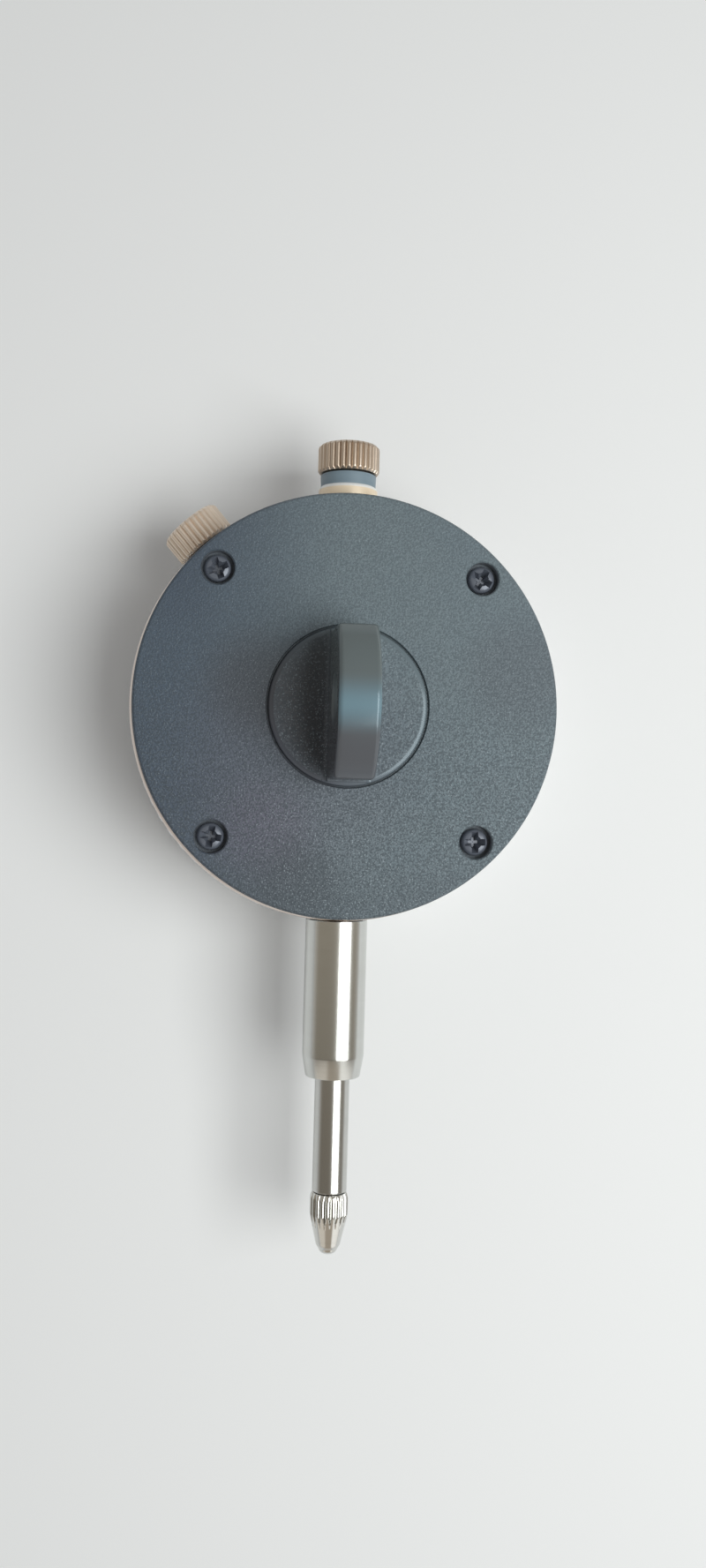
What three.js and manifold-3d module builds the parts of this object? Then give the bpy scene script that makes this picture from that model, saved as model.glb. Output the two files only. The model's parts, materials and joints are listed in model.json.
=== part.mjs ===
// A plunger dial indicator with a lug back: 10 mm of travel, one turn of the main hand a millimetre.
//
// Axes: +Z runs up the plunger, +Y points out of the back cover, and the dial looks along -Y.
// Depths are measured from the back cover's outer face towards the dial, so a depth of d lies at
// y = -d. At the end the whole gauge moves so that the centre of the lug's hole is the origin.
import * as THREE from 'three';
import { mergeVertices } from 'three/addons/utils/BufferGeometryUtils.js';
import Module from 'manifold-3d';

const wasm = await Module();
wasm.setup();

// Clearances and the overrun of every cut
const seatGap = 0.3;
const overrun = 0.5;

// Facets round a ring, a barrel, a pin and a wire, and divisions between two points of a wire
const ringSides = 48;
const barrelSides = 22;
const pinSides = 12;
const wireSides = 5;
const wireDivisions = 4;

// Case body: a cup that is open at the back, with a floor that carries the movement and the dial
const caseRadius = 27.15;
const caseWall = 3.15;
const caseRimDepth = 3.3;
const caseFloorThickness = 1.4;
const caseShoulderInset = 1.7;
const caseShoulderWidth = 2.15;
const caseSeatWall = 1.0;
const caseFrontRim = 1.0;
const bossRadius = 2.4;

// Back cover, its raised disc and its four screws
const coverInset = 0.49;
const coverEdge = 0.45;
const discRadius = 9.83;
const discHeight = 0.4;
const discBevel = 0.25;
const grooveWidth = 0.35;
const grooveDepth = 0.35;
const screwInset = 3.67;
const counterboreGap = 0.4;
const counterboreDepth = 1.8;
const coverScrewHeadRadius = 1.7;
const coverScrewHeadHeight = 1.1;
const coverScrewHeadCrown = 0.35;
const coverScrewShankRadius = 0.9;
const coverScrewLength = 4.9;
const recessWidth = 0.55;
const recessSpan = 2.0;
const recessDepth = 0.7;

// Lug: a plate that stands on the cover, with a hole across it
const lugThickness = 5.0;
const lugHalfLength = 9.07;
const lugHeight = 13.9;
const lugCrestRadius = 11.35;
const lugCorner = 1.5;
const lugHoleRadius = 3.25;
const lugHoleInset = 5.9;
const lugBevel = 0.4;
const lugFoot = 0.4;

// Stem and upper bush, both on the plunger's axis
const stemStep = 0.8;
const stemLength = 20.05;
const stemTaperLength = 2.7;
const stemTaperStep = 0.45;
const spigotWall = 0.65;
const spigotReach = 0.4;
const bushShoulder = 0.62;
const bushLength = 2.55;
const bushEdge = 0.35;
const bushStep = 0.22;
const bushStepHeight = 1.55;

// Plunger, its cap and its contact point
const plungerRadius = 2.25;
const plungerDrop = 15.5;
const plungerFootEdge = 0.25;
const plungerThreadRadius = 1.4;
const plungerThreadLength = 2.3;
const capRadius = 4.0;
const capHeight = 3.7;
const capEdge = 0.45;
const capFluteDepth = 0.28;
const capFlutes = 32;
const pointNeckRadius = 2.2;
const pointRadius = 2.48;
const pointShoulder = 0.8;
const pointBand = 1.3;
const pointTaper = 4.0;
const pointTipRadius = 1.58;
const pointTipLength = 0.35;
const pointBallRadius = 0.95;
const pointBallShoulderShare = 0.87;
const pointStudRadius = 0.9;
const pointStudLength = 3.4;
const pointFlutes = 20;
const pointFluteDepth = 0.16;

// Rack and gear train: the rack pinion turns once in ten millimetres, the centre pinion in one
const rackPitch = 0.625;
const rackTeeth = 25;
const rackPitchInset = 0.45;
const rackStart = -2.4;
const rackPinionTeeth = 16;
const wheelTeeth = 100;
const centrePinionTeeth = 10;
const gearModule = 0.2;
const addendumShare = 0.95;
const dedendumShare = 1.15;
const leafShare = 0.56;
const wheelLift = 0.5;
const wheelThickness = 0.8;
const wheelHoles = 4;
const wheelHoleRadius = 2.1;
const wheelHoleShare = 0.56;
const arborRadius = 0.6;
const pivotRadius = 0.4;
const pivotLength = 0.7;
const rackPinionLength = 2.6;
const centrePinionLength = 1.6;

// Guide pin across the plunger, and the slotted rail that keeps the plunger from turning
const guidePinHeight = 2.0;
const guidePinRadius = 0.7;
const guidePinInset = 1.75;
const guidePinReach = 9.8;
const railReach = 8.2;
const railWall = 0.8;
const railBottom = -0.4;
const railTop = 15.0;
const railWebBottom = 2.0;
const railWebTop = 12.0;
const railFootLength = 3.4;

// Return spring between a post on the floor and the guide pin
const springOffset = 5.0;
const springRadius = 1.25;
const springWireRadius = 0.15;
const springCurls = 12;
const springStepsPerCurl = 8;
const springLead = 1.5;
const springHookSteps = 10;
const springHookShare = 0.65;
const springHookStartShare = 0.9;
const springLastCurlShare = 0.25;
const springPostInset = 4.2;
const springPostRadius = 0.7;
const springPostHead = 1.1;
const springPostReach = 1.5;

// Hairspring, its collet and its stud
const hairspringInner = 1.75;
const hairspringPitch = 0.8;
const hairspringTurns = 4;
const hairspringStepsPerTurn = 14;
const hairspringThickness = 0.12;
const hairspringHeight = 0.6;
const hairspringLift = 0.45;
const hairspringFloorGap = 0.75;
const colletRadius = 1.4;
const studSize = 0.9;

// Movement bridge, pillars, pinion cock and their small screws
const bridgeLift = 1.3;
const bridgeThickness = 0.8;
const bridgeArm = 3.0;
const bridgePad = 2.2;
const pillarRadius = 1.3;
const pillarPlaceShares = [[0.375, -0.146], [-0.633, 0.3125], [-0.633, -0.3125]];
const cockFootShare = 0.5;
const cockInset = 1.1;
const cockClearance = 1.0;
const cockThickness = 0.8;
const cockArm = 2.6;
const cockPostRadius = 1.6;
const smallScrewRadius = 0.7;
const smallScrewHeadRadius = 1.3;
const smallScrewHeadHeight = 0.6;
const slotWidth = 0.35;
const slotDepth = 0.3;
const floorBite = 0.7;

// Dial, scale ring, hands and hub
const dialThickness = 0.5;
const dialFootRadius = 0.5;
const dialFootLength = 0.9;
const dialFootShare = 0.75;
const dialFootTurns = [150, -30].map((degrees) => degrees * Math.PI / 180);
const scaleStep = 0.2;
const scaleWidth = 5.2;
const scaleThickness = 0.5;
const handClearance = 0.35;
const handThickness = 0.3;
const handInset = 2.8;
const handTail = 6.2;
const handWidth = 1.5;
const handTailWidth = 2.0;
const handTipWidth = 0.24;
const handBossRadius = 2.0;
const hubRadius = 1.6;
const hubHeight = 0.5;
const hubClearance = 0.2;
const smallHandThickness = 0.25;
const smallHandReach = 3.4;
const smallHandBoss = 1.3;
const smallHandWidth = 0.7;
const smallHandTip = 0.2;

// Bezel, crystal and wire ring
const bezelBandHeight = 1.5;
const bezelNeckWall = 0.95;
const bezelNeckLength = 1.3;
const bezelBandWidth = 4.8;
const bezelFrontStep = 0.65;
const bezelFrontWall = 1.2;
const bezelLedgeReach = 2.5;
const bezelLipReach = 0.8;
const bezelLipThickness = 0.6;
const bezelFlutes = 72;
const bezelFluteDepth = 0.3;
const crystalThickness = 1.2;
const wireInset = 0.6;
const wireRadius = 0.35;
const wireSteps = 30;
const wireSpan = 330 * Math.PI / 180;

// Bezel clamp: a knurled screw in the case wall and the shoe that it presses on the bezel's neck
const clampTurn = 41 * Math.PI / 180;
const clampInset = 3.7;
const clampHeadRadius = 4.08;
const clampHeadHeight = 3.8;
const clampHeadEdge = 0.4;
const clampFlutes = 32;
const clampFluteDepth = 0.28;
const clampShankRadius = 1.0;
const clampShankInset = 0.6;
const shoeThickness = 0.55;
const shoeWidth = 6.2;
const shoeBackReach = 4.0;
const shoeLap = 0.9;

// Places that follow from the sizes above
const caseInner = caseRadius - caseWall;
const caseSeatRadius = caseRadius - caseShoulderWidth;
const coverRadius = caseRadius - coverInset;
const screwOffset = (caseRadius - screwInset) * Math.SQRT1_2;
const spigotEnd = caseInner - spigotReach;
const spigotRadius = plungerRadius + seatGap + spigotWall;
const stemRadius = spigotRadius + stemStep;
const stemTaperRadius = stemRadius - stemTaperStep;
const stemEnd = caseRadius + seatGap + stemLength;
const bushRadius = spigotRadius + bushShoulder;
const bushTop = caseRadius + seatGap + bushLength;
const plungerFoot = stemEnd + plungerDrop;
const counterboreRadius = coverScrewHeadRadius + counterboreGap;
const lugHoleHeight = lugHeight - lugHoleInset;
const springPostHeight = springPostInset - caseInner;
const cockDepth = caseRimDepth + cockInset;
const rackPinionDepth = cockDepth + cockThickness + cockClearance;
const plungerDepth = rackPinionDepth + rackPinionLength / 2;
const springPostTop = plungerDepth - springPostReach;
const bridgeDepth = rackPinionDepth + rackPinionLength + bridgeLift;
const bridgeFront = bridgeDepth + bridgeThickness;
const wheelDepth = bridgeFront + wheelLift;
const hairspringDepth = wheelDepth + wheelThickness + hairspringLift;
const caseFloorDepth = hairspringDepth + hairspringHeight + hairspringFloorGap;
const caseFloorFront = caseFloorDepth + caseFloorThickness;
const caseShoulderDepth = caseFloorDepth - caseShoulderInset;
const clampDepth = caseShoulderDepth - clampInset;
const rackPitchOffset = plungerRadius - rackPitchInset;
const scaleOuter = caseSeatRadius - caseSeatWall - seatGap;
const scaleInner = scaleOuter - scaleWidth;
const dialRadius = scaleInner - seatGap;
const handReach = scaleOuter - handInset;
const pinionPitchRadius = rackPitch * rackPinionTeeth / (2 * Math.PI);
const wheelPitchRadius = gearModule * wheelTeeth / 2;
const centrePitchRadius = gearModule * centrePinionTeeth / 2;
const arborX = -(rackPitchOffset + pinionPitchRadius);
const arborZ = Math.sqrt((wheelPitchRadius + centrePitchRadius) ** 2 - arborX ** 2);
const rackArbor = [arborX, arborZ];
const takeUpArbor = [arborX, -arborZ];
const centreArbor = [0, 0];
const pillarPlaces = pillarPlaceShares.map((shares) => shares.map((share) => share * caseInner));
const cockFoot = rackArbor.map((value, i) => value + cockFootShare
  * (pillarPlaces[1][i] - value));
const dialFootPlaces = dialFootTurns.map((turn) => [Math.cos(turn), Math.sin(turn)]
  .map((part) => part * dialFootShare * dialRadius));
const dialDepth = caseFloorFront + seatGap;
const scaleDepth = dialDepth + scaleStep;
const smallHandDepth = dialDepth + dialThickness + seatGap;
const handDepth = smallHandDepth + smallHandThickness + handClearance;
const hubDepth = handDepth + handThickness + seatGap;
const bezelBore = caseSeatRadius + seatGap;
const bezelNeckRadius = bezelBore + bezelNeckWall;
const bezelRadius = bezelNeckRadius + bezelBandHeight;
const bezelFrontRadius = bezelRadius - bezelFrontStep;
const crystalRadius = bezelFrontRadius - bezelFrontWall - seatGap;
const bezelLedgeRadius = crystalRadius - bezelLedgeReach;
const bezelLipRadius = crystalRadius - bezelLipReach;
const bezelBackDepth = caseShoulderDepth + seatGap;
const bezelBandDepth = bezelBackDepth + bezelNeckLength;
const bezelBandEnd = bezelBandDepth + bezelBandWidth;
const bezelLedgeDepth = scaleDepth + scaleThickness + seatGap;
const crystalDepth = hubDepth + hubHeight + hubClearance;
const bezelFrontDepth = crystalDepth + crystalThickness + seatGap + bezelLipThickness;
const wireCentreRadius = (caseSeatRadius + bezelBore) / 2;
const wireDepth = caseFloorDepth + wireInset;
const clampShankEnd = caseInner + clampShankInset;
const shoeBackDepth = clampDepth - shoeBackReach;
const shoeFrontDepth = bezelBackDepth + shoeLap;
const shoeInner = bezelNeckRadius + seatGap;
const shoeOuter = shoeInner + shoeThickness;
const clampHeadInner = shoeOuter + seatGap;
const clampHeadOuter = clampHeadInner + clampHeadHeight;

// Materials
const look = (color, roughness, metalness) =>
  () => new THREE.MeshStandardMaterial({ color, roughness, metalness });
const chrome = look(0xd9d9dc, 0.12, 1);
const polishedSteel = look(0xc2c4c6, 0.2, 1);
const groundSteel = look(0x9fa2a6, 0.35, 1);
const brass = look(0xc9a25a, 0.3, 1);
const champagne = look(0xb9a27c, 0.35, 1);
const coverPlastic = look(0x4a4b4d, 0.75, 0);
const blackSteel = look(0x1c1c1e, 0.4, 0.6);
const dialWhite = look(0xf2f2ee, 0.6, 0);
const handBlack = look(0x141416, 0.45, 0.2);
const clearAcrylic = look(0xe8f0f2, 0.05, 0);
const springSteel = look(0x8f9398, 0.3, 1);
const blueSteel = look(0x4a5568, 0.3, 1);

// A closed three.js geometry becomes a solid once its shared corners are one.
function solid(geometry) {
  geometry.deleteAttribute('normal');
  geometry.deleteAttribute('uv');
  const merged = mergeVertices(geometry);
  const corners = merged.index.array;
  const triangles = [];
  for (let i = 0; i < corners.length; i += 3) {
    const [a, b, c] = corners.slice(i, i + 3);
    if (a !== b && b !== c && c !== a) triangles.push(a, b, c);
  }
  return new wasm.Manifold(new wasm.Mesh({
    numProp: 3,
    vertProperties: new Float32Array(merged.attributes.position.array),
    triVerts: new Uint32Array(triangles),
  }));
}

// A finished solid becomes a named mesh.
function piece(name, body, material) {
  const { vertProperties, triVerts } = body.getMesh();
  const geometry = new THREE.BufferGeometry();
  geometry.setAttribute('position', new THREE.BufferAttribute(vertProperties, 3));
  geometry.setIndex(new THREE.BufferAttribute(triVerts, 1));
  geometry.computeVertexNormals();
  const mesh = new THREE.Mesh(geometry, material());
  mesh.name = name;
  return mesh;
}

const assembly = (...parts) => {
  const group = new THREE.Group();
  group.add(...parts.flat());
  return group;
};

// Turned solids: a profile of [radius, height] pairs round the dial's axis, or round the Z axis
function turned(profile, sides) {
  const points = profile.map(([radius, height]) => new THREE.Vector2(radius, height));
  return solid(new THREE.LatheGeometry(points, sides));
}

function turnedUpright(profile, sides) {
  const points = profile.map(([radius, height]) => new THREE.Vector2(radius, height));
  return solid(new THREE.LatheGeometry(points, sides).rotateX(Math.PI / 2));
}

// A disc between two depths, centred on a place given as [x, z]
function disc(radius, backDepth, frontDepth, [x, z], sides = pinSides) {
  const profile = [[0, -frontDepth], [radius, -frontDepth], [radius, -backDepth], [0, -backDepth]];
  return turned(profile, sides).translate([x, 0, z]);
}

// A round bar along Z between two heights, on the plunger's axis or beside it
function bar(radius, bottom, top, sides, x = 0) {
  const profile = [[0, bottom], [radius, bottom], [radius, top], [0, top]];
  return turnedUpright(profile, sides).translate([x, -plungerDepth, 0]);
}

// A plate whose outline lies across the dial's axis, from a back depth towards the dial
function plate(outline, backDepth, thickness) {
  const geometry = new THREE.ExtrudeGeometry(outline, { depth: thickness, bevelEnabled: false });
  return solid(geometry.rotateX(Math.PI / 2)).translate([0, -backDepth, 0]);
}

const box = (width, depth, height) => solid(new THREE.BoxGeometry(width, depth, height));

const outlineOf = (points) => new THREE.Shape(points.map(([x, y]) => new THREE.Vector2(x, y)));

const polar = (radius, angle) => [radius * Math.cos(angle), radius * Math.sin(angle)];

// Straight knurling and fine teeth: ridges with a groove between each two, from a first angle on
function fluted(radius, fluteDepth, flutes, turn = 0) {
  const points = [];
  for (let i = 0; i < flutes; i += 1) {
    points.push(polar(radius, turn + 2 * Math.PI * i / flutes));
    points.push(polar(radius - fluteDepth, turn + 2 * Math.PI * (i + 0.5) / flutes));
  }
  return outlineOf(points);
}

// Pinion: each leaf rises from a share of the pitch at its root to a narrow crest.
function pinionOutline(leaves, pitchRadius, turn) {
  const module = 2 * pitchRadius / leaves;
  const root = pitchRadius - dedendumShare * module;
  const tip = pitchRadius + addendumShare * module;
  const points = [];
  for (let i = 0; i < leaves; i += 1) {
    const step = 2 * Math.PI / leaves;
    const centre = turn + i * step;
    points.push(polar(root, centre - leafShare * step / 2));
    points.push(polar(tip, centre));
    points.push(polar(root, centre + leafShare * step / 2));
  }
  return outlineOf(points);
}

// The turn at which a wheel's teeth fall between the leaves of the pinion that it meets
function meshTurn(pinionTurn, pinionTeeth, direction) {
  const offset = (pinionTurn - direction) * pinionTeeth / wheelTeeth;
  return direction + Math.PI - offset + Math.PI / wheelTeeth;
}

// Case body
function caseBody() {
  const back = -caseRimDepth;
  const floorBack = -caseFloorDepth;
  const floorFront = -caseFloorFront;
  const front = floorFront - caseFrontRim;
  const shoulder = -caseShoulderDepth;
  const groove = wireCentreRadius - wireRadius - seatGap;
  const grooveBack = -(wireDepth - wireRadius - seatGap);
  const grooveFront = -(wireDepth + wireRadius + seatGap);
  let cup = turned([
    [0, floorFront], [caseSeatRadius - caseSeatWall, floorFront],
    [caseSeatRadius - caseSeatWall, front], [caseSeatRadius, front],
    [caseSeatRadius, grooveFront], [groove, grooveFront], [groove, grooveBack],
    [caseSeatRadius, grooveBack], [caseSeatRadius, shoulder],
    [caseRadius, shoulder], [caseRadius, back], [caseInner, back], [caseInner, floorBack],
    [0, floorBack],
  ], ringSides);
  const bossEnd = caseFloorDepth + caseFloorThickness / 2;
  const limit = disc((caseInner + groove) / 2, caseRimDepth, bossEnd, centreArbor, ringSides);
  for (const place of coverScrewPlaces()) {
    cup = cup.add(disc(bossRadius, caseRimDepth, bossEnd, place).intersect(limit));
  }
  const bores = [
    ...coverScrewPlaces().map((place) => disc(
      coverScrewShankRadius + seatGap, caseRimDepth - overrun,
      counterboreDepth + coverScrewLength + seatGap, place)),
    spigotBore(1), spigotBore(-1), clampBore(), clampPocket(),
    ...[centreArbor, rackArbor].map((place) => disc(
      arborRadius + seatGap, caseFloorDepth - overrun, caseFloorFront + overrun, place)),
    floorHole(pivotRadius, takeUpArbor), floorHole(springPostRadius, springPostPlace()),
    floorHole(studSize / 2, hairspringStudPlace()),
    floorHole(smallScrewRadius, railScrewPlace()),
    ...pillarPlaces.map((place) => floorHole(smallScrewRadius, place)),
    ...dialFootPlaces.map((place) => disc(
      dialFootRadius + seatGap, dialDepth - dialFootLength - seatGap,
      caseFloorFront + overrun, place)),
  ];
  for (const bore of bores) cup = cup.subtract(bore);
  return piece('case_body', cup, chrome);
}

const coverScrewPlaces = () => [[-1, 1], [1, 1], [1, -1], [-1, -1]]
  .map(([x, z]) => [x * screwOffset, z * screwOffset]);

const floorHole = (radius, place) => disc(
  radius + seatGap, caseFloorDepth - overrun, caseFloorDepth + floorBite + seatGap, place);

const spigotBore = (side) => {
  const ends = [side * (spigotEnd - overrun), side * (caseRadius + overrun)].sort((a, b) => a - b);
  return bar(spigotRadius + seatGap, ...ends, barrelSides);
};

// Back cover with its groove, raised disc and lug
function backCover() {
  const inner = -(caseRimDepth - seatGap);
  const grooveOuter = discRadius + grooveWidth;
  let cover = turned([
    [0, inner], [coverRadius, inner], [coverRadius, -coverEdge], [coverRadius - coverEdge, 0],
    [grooveOuter, 0], [grooveOuter, -grooveDepth], [discRadius, -grooveDepth],
    [discRadius, discHeight - discBevel], [discRadius - discBevel, discHeight], [0, discHeight],
  ], ringSides);
  for (const place of coverScrewPlaces()) {
    const shankHole = disc(coverScrewShankRadius + seatGap, -overrun, caseRimDepth, place);
    const pocket = disc(counterboreRadius, -overrun, counterboreDepth, place);
    cover = cover.subtract(shankHole).subtract(pocket);
  }
  return piece('back_cover', cover.add(lugPlate()).add(lugBase()), coverPlastic);
}

function lugPlate() {
  const crestCentre = lugHeight - lugCrestRadius;
  const inset = lugHalfLength - lugCorner;
  const cornerAngle = Math.acos(inset / (lugCrestRadius - lugCorner));
  const cornerHeight = crestCentre + (lugCrestRadius - lugCorner) * Math.sin(cornerAngle);
  const outline = new THREE.Shape();
  outline.moveTo(-lugHalfLength, 0);
  outline.lineTo(lugHalfLength, 0);
  outline.absarc(inset, cornerHeight, lugCorner, 0, cornerAngle);
  outline.absarc(0, crestCentre, lugCrestRadius, cornerAngle, Math.PI - cornerAngle);
  outline.absarc(-inset, cornerHeight, lugCorner, Math.PI - cornerAngle, Math.PI);
  const hole = new THREE.Path();
  hole.absarc(0, lugHoleHeight, lugHoleRadius + lugBevel, 0, 2 * Math.PI, true);
  outline.holes.push(hole);
  const geometry = new THREE.ExtrudeGeometry(outline, {
    depth: lugThickness - 2 * lugBevel,
    bevelThickness: lugBevel,
    bevelSize: lugBevel,
    bevelOffset: -lugBevel,
    bevelSegments: 1,
    curveSegments: pinSides,
  });
  return solid(geometry.translate(0, 0, lugBevel - lugThickness / 2).rotateY(-Math.PI / 2));
}

// A foot that spreads the lug into the raised disc
function lugBase() {
  const half = lugThickness / 2;
  const length = 2 * lugHalfLength;
  const foot = outlineOf([
    [-half - lugFoot, 0], [half + lugFoot, 0], [half + lugFoot, discHeight],
    [half - lugBevel, discHeight + lugFoot + lugBevel],
    [lugBevel - half, discHeight + lugFoot + lugBevel], [-half - lugFoot, discHeight],
  ]);
  const geometry = new THREE.ExtrudeGeometry(foot, { depth: length, bevelEnabled: false });
  return solid(geometry.translate(0, 0, -length / 2));
}

// Pan-head screw with a cross recess, pointing into the case
function coverScrew(name, [x, z]) {
  const headBack = counterboreDepth - seatGap / 2 - coverScrewHeadHeight;
  const headFront = headBack + coverScrewHeadHeight;
  const tip = counterboreDepth + coverScrewLength;
  let screw = turned([
    [0, -tip], [coverScrewShankRadius, -tip], [coverScrewShankRadius, -headFront],
    [coverScrewHeadRadius, -headFront], [coverScrewHeadRadius, -headBack - coverScrewHeadCrown],
    [coverScrewHeadRadius - coverScrewHeadCrown, -headBack], [0, -headBack],
  ], pinSides);
  const depth = recessDepth + overrun;
  const y = overrun - headBack - depth / 2;
  screw = screw.subtract(box(recessSpan, depth, recessWidth).translate([0, y, 0]));
  screw = screw.subtract(box(recessWidth, depth, recessSpan).translate([0, y, 0]));
  return piece(name, screw.translate([x, 0, z]), blackSteel);
}

// Small cheese-head screw with a straight slot: its head starts at headDepth
function smallScrew(name, [x, z], headDepth, tipDepth) {
  const headFront = headDepth + smallScrewHeadHeight;
  const screw = turned([
    [0, -tipDepth], [smallScrewRadius, -tipDepth], [smallScrewRadius, -headFront],
    [smallScrewHeadRadius, -headFront], [smallScrewHeadRadius, -headDepth], [0, -headDepth],
  ], pinSides);
  const depth = slotDepth + overrun;
  const slot = box(2 * smallScrewHeadRadius + overrun, depth, slotWidth);
  const cut = screw.subtract(slot.translate([0, overrun - headDepth - depth / 2, 0]));
  return piece(name, cut.translate([x, 0, z]), groundSteel);
}

// Stem and upper bush: each has a spigot through the case wall and a bore for the plunger.
function stem() {
  const bore = plungerRadius + seatGap;
  const shoulder = -(caseRadius + seatGap);
  const tube = turnedUpright([
    [bore, -stemEnd], [stemTaperRadius, -stemEnd], [stemRadius, stemTaperLength - stemEnd],
    [stemRadius, shoulder], [spigotRadius, shoulder], [spigotRadius, -spigotEnd],
    [bore, -spigotEnd], [bore, -stemEnd],
  ], barrelSides);
  return piece('stem', tube.translate([0, -plungerDepth, 0]), polishedSteel);
}

function upperBush() {
  const bore = plungerRadius + seatGap;
  const shoulder = caseRadius + seatGap;
  const step = shoulder + bushStepHeight;
  const neck = bushRadius - bushStep;
  const tube = turnedUpright([
    [bore, spigotEnd], [spigotRadius, spigotEnd], [spigotRadius, shoulder],
    [bushRadius, shoulder], [bushRadius, step], [neck, step + bushStep],
    [neck, bushTop - bushEdge], [neck - bushEdge, bushTop], [bore, bushTop], [bore, spigotEnd],
  ], barrelSides);
  return piece('upper_bush', tube.translate([0, -plungerDepth, 0]), polishedSteel);
}

// Plunger with its rack, the cross hole of the guide pin and a threaded bore at its foot
function plunger() {
  const threadFoot = bushTop + seatGap;
  const rod = turnedUpright([
    [0, -plungerFoot], [plungerRadius - plungerFootEdge, -plungerFoot],
    [plungerRadius, plungerFootEdge - plungerFoot], [plungerRadius, threadFoot],
    [plungerThreadRadius, threadFoot], [plungerThreadRadius, threadFoot + plungerThreadLength],
    [0, threadFoot + plungerThreadLength],
  ], barrelSides).translate([0, -plungerDepth, 0]);
  const studBore = bar(pointStudRadius + seatGap, -plungerFoot - overrun,
    pointStudLength - plungerFoot, pinSides);
  const reach = plungerRadius + overrun;
  const pinHole = crossBar(guidePinRadius + seatGap, guidePinInset - plungerRadius, reach);
  return piece('plunger', rod.subtract(studBore).subtract(pinHole).subtract(rackGaps()),
    polishedSteel);
}

// A round bar along X at the guide pin's height
function crossBar(radius, from, to) {
  const geometry = new THREE.CylinderGeometry(radius, radius, to - from, pinSides);
  geometry.rotateZ(Math.PI / 2).translate((from + to) / 2, -plungerDepth, guidePinHeight);
  return solid(geometry);
}

// What is cut from the plunger's side to leave the rack's teeth
function rackGaps() {
  const module = rackPitch / Math.PI;
  const tip = -(rackPitchOffset + addendumShare * module);
  const root = -(rackPitchOffset - dedendumShare * module);
  const outer = -(plungerRadius + overrun);
  const first = arborZ + rackPitch * (Math.round((rackStart - arborZ) / rackPitch) + 0.5);
  const points = [[outer, first - rackPitch / 2], [root, first - rackPitch / 2]];
  for (let i = 0; i < rackTeeth; i += 1) {
    points.push([tip, first + i * rackPitch], [root, first + (i + 0.5) * rackPitch]);
  }
  points.push([outer, first + (rackTeeth - 0.5) * rackPitch]);
  const back = plungerDepth - plungerRadius - overrun;
  return plate(outlineOf(points.reverse()), back, 2 * (plungerRadius + overrun));
}

// Plunger cap: a knurled knob with a blind bore for the plunger's end
function plungerCap() {
  const bottom = bushTop + seatGap + seatGap;
  const top = bottom + capHeight;
  const blank = turnedUpright([
    [0, bottom], [capRadius - capEdge, bottom], [capRadius, bottom + capEdge],
    [capRadius, top - capEdge], [capRadius - capEdge, top], [0, top],
  ], barrelSides);
  const bore = turnedUpright([
    [0, bottom - overrun], [plungerThreadRadius + seatGap, bottom - overrun],
    [plungerThreadRadius + seatGap, bushTop + seatGap + plungerThreadLength + seatGap],
    [0, bushTop + seatGap + plungerThreadLength + seatGap],
  ], pinSides);
  const knob = knurledBar(capRadius, capFluteDepth, capFlutes, bottom, top).intersect(blank);
  return piece('plunger_cap', knob.subtract(bore).translate([0, -plungerDepth, 0]), champagne);
}

// A knurled bar along Z: the blank's facets must lie outside the ridges, so it is a little larger.
function knurledBar(radius, fluteDepth, flutes, bottom, top) {
  const outline = fluted(radius * Math.cos(Math.PI / barrelSides), fluteDepth, flutes);
  const settings = { depth: top - bottom, bevelEnabled: false };
  return solid(new THREE.ExtrudeGeometry(outline, settings).translate(0, 0, bottom));
}

// Contact point: knurled where it is gripped, tapering to a ball seat, with a stud at the top
function contactPoint() {
  const top = -(plungerFoot + seatGap);
  const bandTop = top - pointShoulder;
  const bandFoot = bandTop - pointBand;
  const tip = bandFoot - pointTaper;
  const ball = tip - pointTipLength;
  const head = turnedUpright([
    [0, ball - pointBallRadius], [pointBallRadius / 2, ball - pointBallRadius * pointBallShoulderShare],
    [pointBallRadius, ball], [pointTipRadius, tip],
    [pointRadius, bandFoot], [pointRadius, bandTop], [pointNeckRadius, top], [0, top],
  ], barrelSides);
  const knurl = knurledBar(pointRadius, pointFluteDepth, pointFlutes,
    ball - pointBallRadius - overrun, top + overrun);
  const stud = turnedUpright([
    [0, top - overrun], [pointStudRadius, top - overrun],
    [pointStudRadius, pointStudLength - plungerFoot - seatGap],
    [0, pointStudLength - plungerFoot - seatGap],
  ], pinSides);
  const point = head.intersect(knurl).add(stud);
  return piece('contact_point', point.translate([0, -plungerDepth, 0]), polishedSteel);
}

const guidePin = () => piece('guide_pin',
  crossBar(guidePinRadius, guidePinInset - plungerRadius + seatGap, guidePinReach), groundSteel);

// Guide rail: a channel round the end of the guide pin, on a foot that is screwed to the floor
function guideRail() {
  const slotHalf = guidePinRadius + seatGap;
  const webInner = guidePinReach + seatGap;
  const webOuter = webInner + railWall;
  const back = plungerDepth - slotHalf - railWall;
  const front = plungerDepth + slotHalf + railWall;
  const height = railTop - railBottom;
  const block = (x0, x1, d0, d1, z0, z1) => box(x1 - x0, d1 - d0, z1 - z0)
    .translate([(x0 + x1) / 2, -(d0 + d1) / 2, (z0 + z1) / 2]);
  const footFront = caseFloorDepth - seatGap;
  const channel = block(railReach, webOuter, back, front, railBottom, railBottom + height)
    .subtract(block(railReach - overrun, webInner, back + railWall, front - railWall,
      railBottom - overrun, railTop + overrun));
  const web = block(webInner, webOuter, front - railWall, footFront, railWebBottom, railWebTop);
  const foot = block(webInner, webInner + railFootLength, footFront - railWall, footFront,
    railWebBottom, railWebTop);
  const hole = disc(smallScrewRadius + seatGap, footFront - railWall - overrun,
    footFront + overrun, railScrewPlace());
  return piece('guide_rail', channel.add(web).add(foot).subtract(hole), groundSteel);
}

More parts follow.
